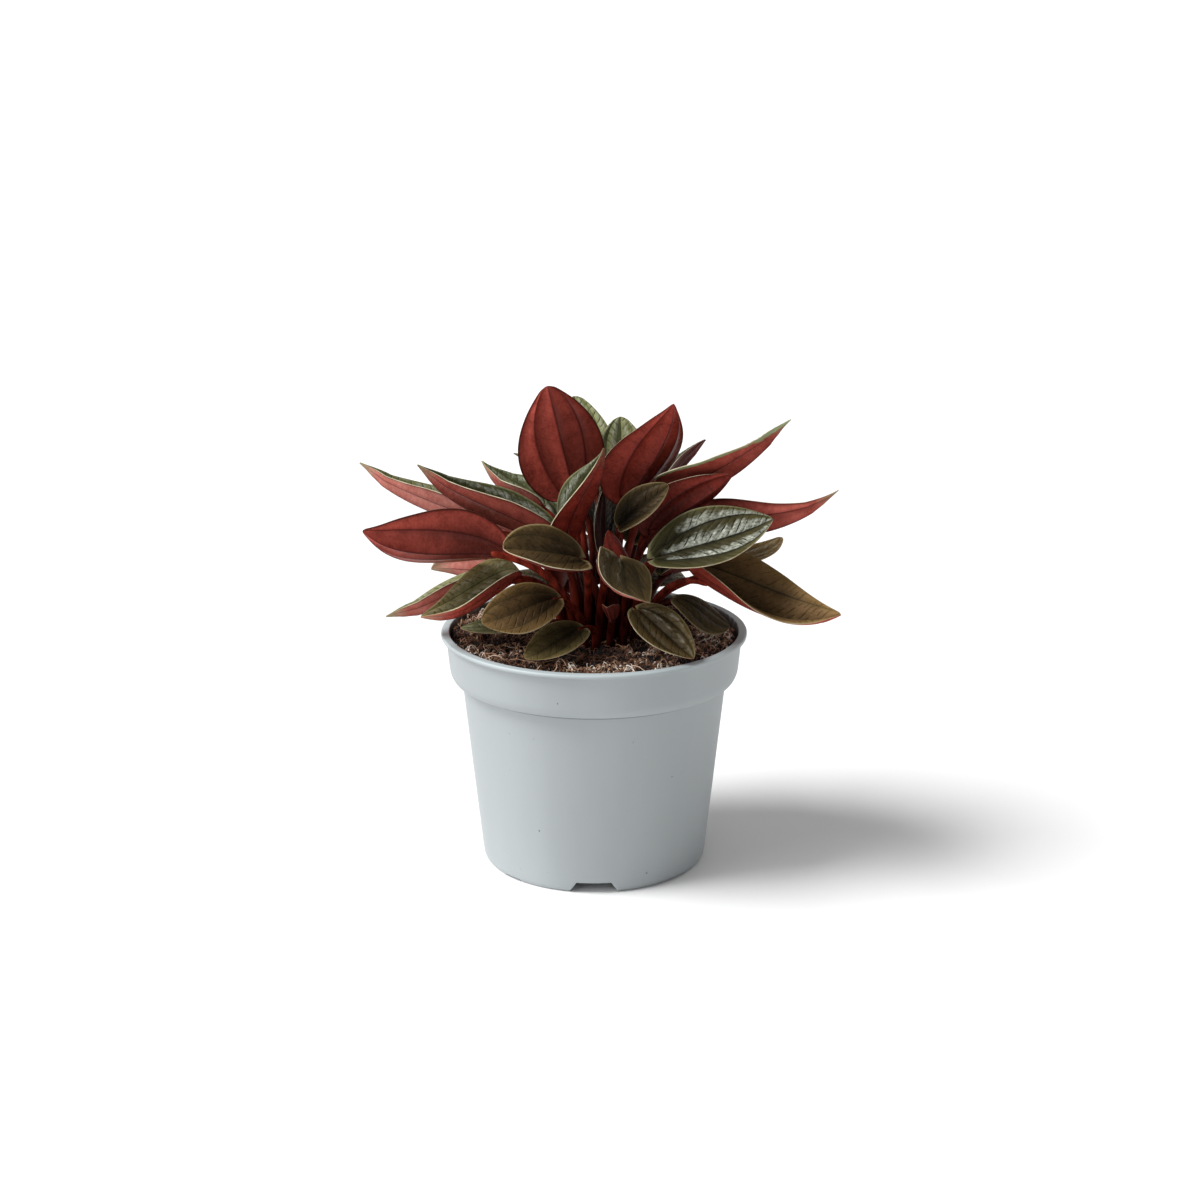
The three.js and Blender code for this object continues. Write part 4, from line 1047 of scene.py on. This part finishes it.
    def green_fringe(self, edge):
        """1 along a margin of the lower face that the red leaves free, and 0 beyond, with an uneven border."""
        free = self.per_half(self.look["green"]) * np.sqrt(np.sin(np.pi * self.down))
        uneven = 0.5 * noise(np.stack([self.along, edge], -1), 1.4, 16)
        return np.clip(2.2 * (1 - edge / np.maximum(free, 0.01)) + uneven, 0, 1) * (free > 0.05)

    def values(self):
        """What the materials need at each point, in the order of the rings: columns out, edge, columns back, edge."""
        edge = (1 - np.abs(self.across)) * self.half
        # heart is painted shade: the blade is darker towards its base and its middle.
        heart = self.look["heart"] * np.clip(1.35 * (1 - self.down), 0, 1) * (1 - 0.65 * self.across**2)
        point = self.look["point"] * np.clip(1 - self.to_tip / 9, 0, 1)

        def mirrored(values, below=None):
            below = values if below is None else below
            return np.concatenate([values, values[:, -1:], below[:, ::-1], below[:, :1]], 1)

        silver = mirrored(self.silvering(), self.green_fringe(edge))
        spot = [mirrored(self.distance + 70 * self.seed), mirrored(self.along)]
        return {
            "relief": np.stack([mirrored(self.swell), mirrored(self.phase), mirrored(edge)], -1),
            "zones": np.stack([mirrored(point), mirrored(heart), silver], -1),
            "map": np.stack(spot, -1),
        }

    def kinds(self):
        """Which skin each column has: 0 the upper, 1 the lower, 3 the pale margin."""
        size = len(self.steps)
        made = np.repeat([0, 1], size + 1)
        made[[size - 1, -1]], made[size] = 3, 1
        return made

    def ends(self):
        """The two points that close the blade, at its base and at its tip."""
        base = self.middle[0] - self.direction[0] * 0.15 - self.up[0] * 0.4
        tip = self.middle[-1] + self.direction[-1] * 0.05 - self.up[-1] * BLADE_THICKNESS * 0.15
        return {"start": base, "end": tip}


print("a leaf in the middle of the table:", Blade(21).down.shape, "rows and columns")


# %% Its stalk
def stalk(blade):
    """A round tube along a cubic from the soil to the underside of the blade, narrowed where it joins. It is darker
    low down and in the middle of the crown, where little light comes."""
    columns = 14
    start = blade.foot + [0, 0, STALK_STRAIGHT]
    meet, _ = bezier(blade.curve, 0.1)
    end = meet - blade.upper * BLADE_THICKNESS * 0.8
    far = np.linalg.norm(end - start)
    _, leaving = bezier(blade.curve, 0.0)
    s = np.linspace(0, 1, 30)
    place, direction = bezier([start, start + [0, 0, far * 0.45], end - leaving * far * 0.3, end], s)
    below = blade.foot - np.array([0, 0, STALK_DEPTH - 0.5])
    place = np.concatenate([below[None], place])
    direction = np.concatenate([[[0, 0, 1.0]], direction])
    s = np.concatenate([[0], s])
    east = unit(np.array([1.0, 0, 0]) - direction * direction[:, :1])
    north = np.cross(direction, east)
    around = np.linspace(0, 2 * math.pi, columns, endpoint=False)
    narrowed = np.where(s > 0.93, 1 - 0.45 * ((s - 0.93) / 0.07) ** 2, 1)
    girth = (STALK_RADIUS + (STALK_TOP_RADIUS - STALK_RADIUS) * s) * narrowed
    outward = east[:, None] * np.cos(around)[:, None] + north[:, None] * np.sin(around)[:, None]
    rings = place[:, None] + girth[:, None, None] * outward
    length = np.concatenate([[0], np.cumsum(np.linalg.norm(np.diff(place, axis=0), axis=1))])
    spot = np.stack(np.broadcast_arrays(np.cos(around)[None] * 1.5, length[:, None]), -1)
    from_crown = np.hypot(*(place[:, :2] - CROWN).T)
    light = np.clip(0.35 + (place[:, 2] - SOIL_EDGE_Z) / 60, 0.25, 1) * (0.55 + 0.45 * np.clip(from_crown / 16, 0, 1))
    marks = np.stack(np.broadcast_arrays(light[:, None], np.full((1, columns), 0.5), 9.0), -1)
    ends = {"start": place[0], "end": place[-1] + direction[-1] * 0.2}
    return rings, {"relief": marks, "zones": np.zeros(3), "map": spot}, ends


print("its stalk:", stalk(Blade(21))[0].shape[:2], "rings and columns")

# %% [markdown]
# The upper face is a waxy green skin over water-filled cells. Where the flesh swells, tiny air spaces under the skin
# scatter light and the leaf looks silvered; the sunken veins lie in shade, which is painted in nearly black. Old or
# strongly lit leaves turn olive and brown. The lower face holds a red pigment, darker along the veins, with painted
# shade beside them. Both faces end in a thin pale margin. The looks of each leaf and its relief come as attributes, so
# four materials serve all forty-two leaves. The other way, a material for each leaf, would mean forty-two trees of
# nodes to keep alike.


# %% Leaf materials
ATTRIBUTES = {  # the three numbers of each: edge is the millimetres to the margin, phase counts the cross veins
    "relief": ("swell", "phase", "edge"),
    "zones": ("point", "heart", "silver"),
    "looks": ("brown", "pink", "rim"),
    "growth": ("shade", "fresh", "ribs"),
}


def leaf_values(tree, wanted):
    """Outputs that give the wanted values of a leaf, from the attributes that hold them."""
    found = {}
    for attribute, names in ATTRIBUTES.items():
        if set(names) & set(wanted.split()):
            vector = add(tree, "Attribute", {}, "Vector", attribute_name=attribute)
            found.update(zip(names, add(tree, "SeparateXYZ", {0: vector}).node.outputs))
    return [found[name] for name in wanted.split()]


def cross_veins(tree, phase, swell, spot, width):
    """1 on a cross vein and 0 off it. A vein is where the sine of pi times the phase is near nought; noise in
    patches of 3.8 mm lets some of them fade, and none runs in the grooves."""
    wave = add(tree, "Math", {0: phase, 1: math.pi}, operation="MULTIPLY")
    wave = add(tree, "Math", {0: wave}, operation="SINE")
    wave = add(tree, "Math", {0: wave}, operation="ABSOLUTE")
    line = add(tree, "MapRange", {0: wave, 1: width * 0.2, 2: width, 3: 1.0, 4: 0.0})
    patchy = add(tree, "TexNoise", {"Vector": spot, "Scale": 260.0, "Detail": 1.0})
    line = add(tree, "Math", {0: line, 1: add(tree, "MapRange", {0: patchy, 1: 0.42, 2: 0.56})}, operation="MULTIPLY")
    return add(tree, "Math", {0: line, 1: add(tree, "MapRange", {0: swell, 2: 0.4})}, operation="MULTIPLY")


def coated(tree, colour, coats):
    """Lays coats over a colour in their order. A coat is its shares, which are multiplied together, and its colour."""
    for shares, coat in coats:
        share = shares[0]
        for other in shares[1:]:
            share = add(tree, "Math", {0: share, 1: other}, operation="MULTIPLY")
        colour = add(tree, "Mix", {0: share, 6: colour, 7: coat}, 2, data_type="RGBA")
    return colour


def two_tone(tree, share, pairs):
    """One colour for each pair of hex codes, mixed by the same share."""
    return [coated(tree, first, [((share,), second)]) for first, second in pairs]


def dimmed(tree, colour, heart, shade):
    """A colour times the shade of its leaf, and darker where little light comes: times 0.12 where heart is 1."""
    dim = add(tree, "MapRange", {0: heart, 3: 1.0, 4: 0.12})
    dim = add(tree, "Math", {0: dim, 1: shade}, operation="MULTIPLY")
    return add(tree, "VectorMath", {0: colour, "Scale": dim}, operation="SCALE")


print("values of a leaf that its materials can ask for:", sum(ATTRIBUTES.values(), ()))

# %% Waxy upper skin
upper_skin, tree, shader = material("waxy_upper_leaf_skin")
swell, phase, edge, heart, silver = leaf_values(tree, "swell phase edge heart silver")
brown, rim, shade, fresh, ribs = leaf_values(tree, "brown rim shade fresh ribs")
spot, place = add(tree, "UVMap", {}, uv_map="surface_map"), add(tree, "TexCoord", {}, "Object")

# Pigment in blotches of 6 mm: green, then olive with age or the light green of young growth. The band along the
# margin is paler. The crests are paler too, a painted highlight that makes the ribs read as rounded.
mottle = add(tree, "TexNoise", {"Vector": place, "Scale": 160.0, "Detail": 4.0, "Roughness": 0.65})
mottle = add(tree, "MapRange", {0: mottle, 1: 0.32, 2: 0.68})
tones = [("#1A1D11", "#33381F"), ("#341E0E", "#573A1F"), ("#6A7048", "#969A70")]
green, olive, young = two_tone(tree, mottle, tones)
tones = [("#5A623C", "#6E5032"), ("#5A6238", "#786036"), ("#8E9370", "#A38F66")]
crest, band, hem_tone = two_tone(tree, brown, tones)
lit = add(tree, "MapRange", {0: swell, 1: 0.1, 2: 0.85, 4: 0.3})
near_margin = add(tree, "MapRange", {0: edge, 1: 0.6, 2: 4.5, 3: 0.35, 4: 0.0})
flesh = coated(tree, green, [((brown,), olive), ((fresh,), young), ((lit, ribs), crest), ((near_margin,), band)])
flesh = dimmed(tree, flesh, heart, shade)

# Silver in slanted strokes: patches of 2.4 mm, with flecks of 0.7 mm in them. The real flecks are single cells of a
# tenth of that, which would only be a grey veil at this distance.
slanted = add(tree, "Mapping", {"Vector": spot, "Scale": (1.0, 0.5, 1.0), "Rotation": (0, 0, 0.75)})
fleck = add(tree, "TexNoise", {"Vector": slanted, "Scale": 1500.0, "Detail": 3.0, "Roughness": 0.65})
fleck = add(tree, "MapRange", {0: fleck, 1: 0.38, 2: 0.62, 3: 0.3})
patch = add(tree, "TexNoise", {"Vector": slanted, "Scale": 420.0, "Detail": 2.0, "Roughness": 0.65})
patch = add(tree, "MapRange", {0: patch, 1: 0.3, 2: 0.62, 4: 0.3})
high = add(tree, "MapRange", {0: add(tree, "Math", {0: silver, 1: patch}, operation="ADD"), 1: 0.32, 2: 1.0})
seen = add(tree, "MapRange", {0: silver, 2: 0.2})

# Painted shade: cross veins and grooves are creases, painted nearly black, the cross veins most of all where they cut
# through silver. The hem is pale, and as wide as rim says.
crack = cross_veins(tree, phase, swell, spot, 0.4)
deep = add(tree, "MapRange", {0: silver, 2: 0.7, 3: 0.1, 4: 1.0})
groove = add(tree, "MapRange", {0: swell, 1: 0.0, 2: 0.14, 3: 0.7, 4: 0.0})
broad = add(tree, "Math", {0: edge, 1: rim}, operation="DIVIDE")
hem_line = add(tree, "MapRange", {0: broad, 1: 0.15, 2: 1.1, 3: 0.6, 4: 0.0})
flesh = coated(tree, flesh, [
    ((high, fleck, seen), "#C4C8BA"),
    ((crack, ribs, deep), "#14150B"),
    ((groove, ribs), "#10120A"),
    ((hem_line, rim), hem_tone),
])

# Cells of 0.9 mm give the wax its fine sparkle. They are drawn as coarse as that to be seen at all.
cells = add(tree, "TexNoise", {"Vector": slanted, "Scale": 1100.0, "Detail": 2.0})
height = add(tree, "Math", {0: cells, 1: crack}, operation="SUBTRACT")
bump = add(tree, "Bump", {"Height": height, "Strength": 0.7, "Distance": 0.0005})
feed(tree, shader, {"Base Color": flesh, "Normal": bump, "Roughness": 0.42, "Specular IOR Level": 0.07})
print("material:", upper_skin.name, "with", len(tree.nodes), "nodes")

# %% Red lower skin
lower_skin, tree, shader = material("red_lower_leaf_skin")
swell, phase, edge, point, heart, silver = leaf_values(tree, "swell phase edge point heart silver")
pink, rim, shade = leaf_values(tree, "pink rim shade")
spot, place = add(tree, "UVMap", {}, uv_map="surface_map"), add(tree, "TexCoord", {}, "Object")

# Wine red in blotches of 5 mm, with a lighter net of 1 mm. Rose is painted light: the glow where light comes
# through the leaf.
mottle = add(tree, "TexNoise", {"Vector": place, "Scale": 190.0, "Detail": 5.0, "Roughness": 0.65})
mottle = add(tree, "MapRange", {0: mottle, 1: 0.32, 2: 0.68})
red, rose = two_tone(tree, mottle, [("#66190F", "#983325"), ("#A66054", "#C88A7E")])
net = add(tree, "TexNoise", {"Vector": spot, "Scale": 1000.0, "Detail": 3.0, "Roughness": 0.7})
net = add(tree, "MapRange", {0: net, 1: 0.42, 2: 0.6, 4: 0.34})

# The pigment gathers along the veins, and faintly on the cross veins. Beside the veins is painted shade, darker
# towards the veins and lighter on the crests, which models the channels. Where the hem isn't pale it is dark. Here the
# silver attribute is the green fringe, and a drawn-out point is green too.
vein_side_shade = add(tree, "MapRange", {0: swell, 1: 0.05, 2: 0.75, 3: 0.42, 4: 0.0})
groove = add(tree, "MapRange", {0: swell, 1: 0.0, 2: 0.14, 3: 0.7, 4: 0.0})
faint = add(tree, "MapRange", {0: cross_veins(tree, phase, swell, spot, 0.18), 4: 0.25})
dark_hem = add(tree, "MapRange", {0: edge, 1: 0.2, 2: 0.9, 3: 0.8, 4: 0.0})
unpale = add(tree, "MapRange", {0: rim, 2: 0.6, 3: 1.0, 4: 0.0})
drawn = add(tree, "MapRange", {0: point, 4: 0.85})
flesh = coated(tree, red, [
    ((pink,), rose),
    ((net,), "#AB4C3F"),
    ((vein_side_shade,), "#4C110D"),
    ((groove,), "#35090A"),
    ((faint,), "#3F0D0A"),
    ((dark_hem, unpale), "#2E120C"),
    ((silver,), "#7F8A66"),
    ((drawn,), "#7C7F62"),
])
flesh = dimmed(tree, flesh, heart, shade)

# Cells of 1.6 mm, coarser than those above, give a satin look.
cells = add(tree, "TexNoise", {"Vector": spot, "Scale": 620.0, "Detail": 3.0})
bump = add(tree, "Bump", {"Height": cells, "Strength": 0.55, "Distance": 0.0005})
feed(tree, shader, {"Base Color": flesh, "Normal": bump, "Roughness": 0.4, "Specular IOR Level": 0.1})
print("material:", lower_skin.name, "with", len(tree.nodes), "nodes")

# %% Red stalk skin and pale margin
# Stalks are dark red with upright streaks 2.4 mm wide. Their swell attribute is the light that reaches them.
stalk_skin, tree, shader = material("red_stalk_skin")
light, shade = leaf_values(tree, "swell shade")
place = add(tree, "TexCoord", {}, "Object")
streak = add(tree, "Mapping", {"Vector": place, "Scale": (1.0, 1.0, 0.25)})
streak = add(tree, "TexNoise", {"Vector": streak, "Scale": 420.0, "Detail": 2.0})
streak = add(tree, "MapRange", {0: streak, 1: 0.35, 2: 0.65})
flesh = coated(tree, "#3E0F09", [((streak,), "#78291B")])
dim = add(tree, "Math", {0: shade, 1: light}, operation="MULTIPLY")
flesh = add(tree, "VectorMath", {0: flesh, "Scale": dim}, operation="SCALE")
feed(tree, shader, {"Base Color": flesh, "Roughness": 0.42, "Specular IOR Level": 0.05})

# The margin is dry and parchment-coloured, in patches of 4.5 mm, or red where rim is small.
margin_skin, tree, shader = material("pale_leaf_margin")
rim, = leaf_values(tree, "rim")
place = add(tree, "TexCoord", {}, "Object")
dry = add(tree, "TexNoise", {"Vector": place, "Scale": 220.0, "Detail": 2.0})
pale, = two_tone(tree, add(tree, "MapRange", {0: dry, 1: 0.35, 2: 0.65}), [("#A5987A", "#D0C6A6")])
feed(tree, shader, {"Base Color": coated(tree, "#5A241A", [((rim,), pale)]), "Roughness": 0.55})
print("materials:", stalk_skin.name, "and", margin_skin.name)

# %% Make the leaves
skins = [upper_skin, lower_skin, stalk_skin, margin_skin]
leaf_triangles = 0
for number in LEAVES:
    name = f"leaf_{number:02d}"
    blade = Blade(number)
    looks = {"looks": np.array([blade.look[key] for key in ("brown", "pink", "rim")])}
    looks["growth"] = np.array([blade.look["shade"], blade.look["fresh"], blade.ribs])
    leaf_sheet = Sheet()
    leaf_sheet.tube(blade.rings(), blade.kinds(), {**blade.values(), **looks}, **blade.ends())
    rings, values, ends = stalk(blade)
    leaf_sheet.tube(rings, 2, {**values, **looks}, **ends)
    leaf = leaf_sheet.make(f"ribbed_{name}", skins)
    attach(leaf, "root")
    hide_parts(name)
    leaf_triangles += triangles(leaf)
print("leaves:", leaf_triangles, "triangles in all")
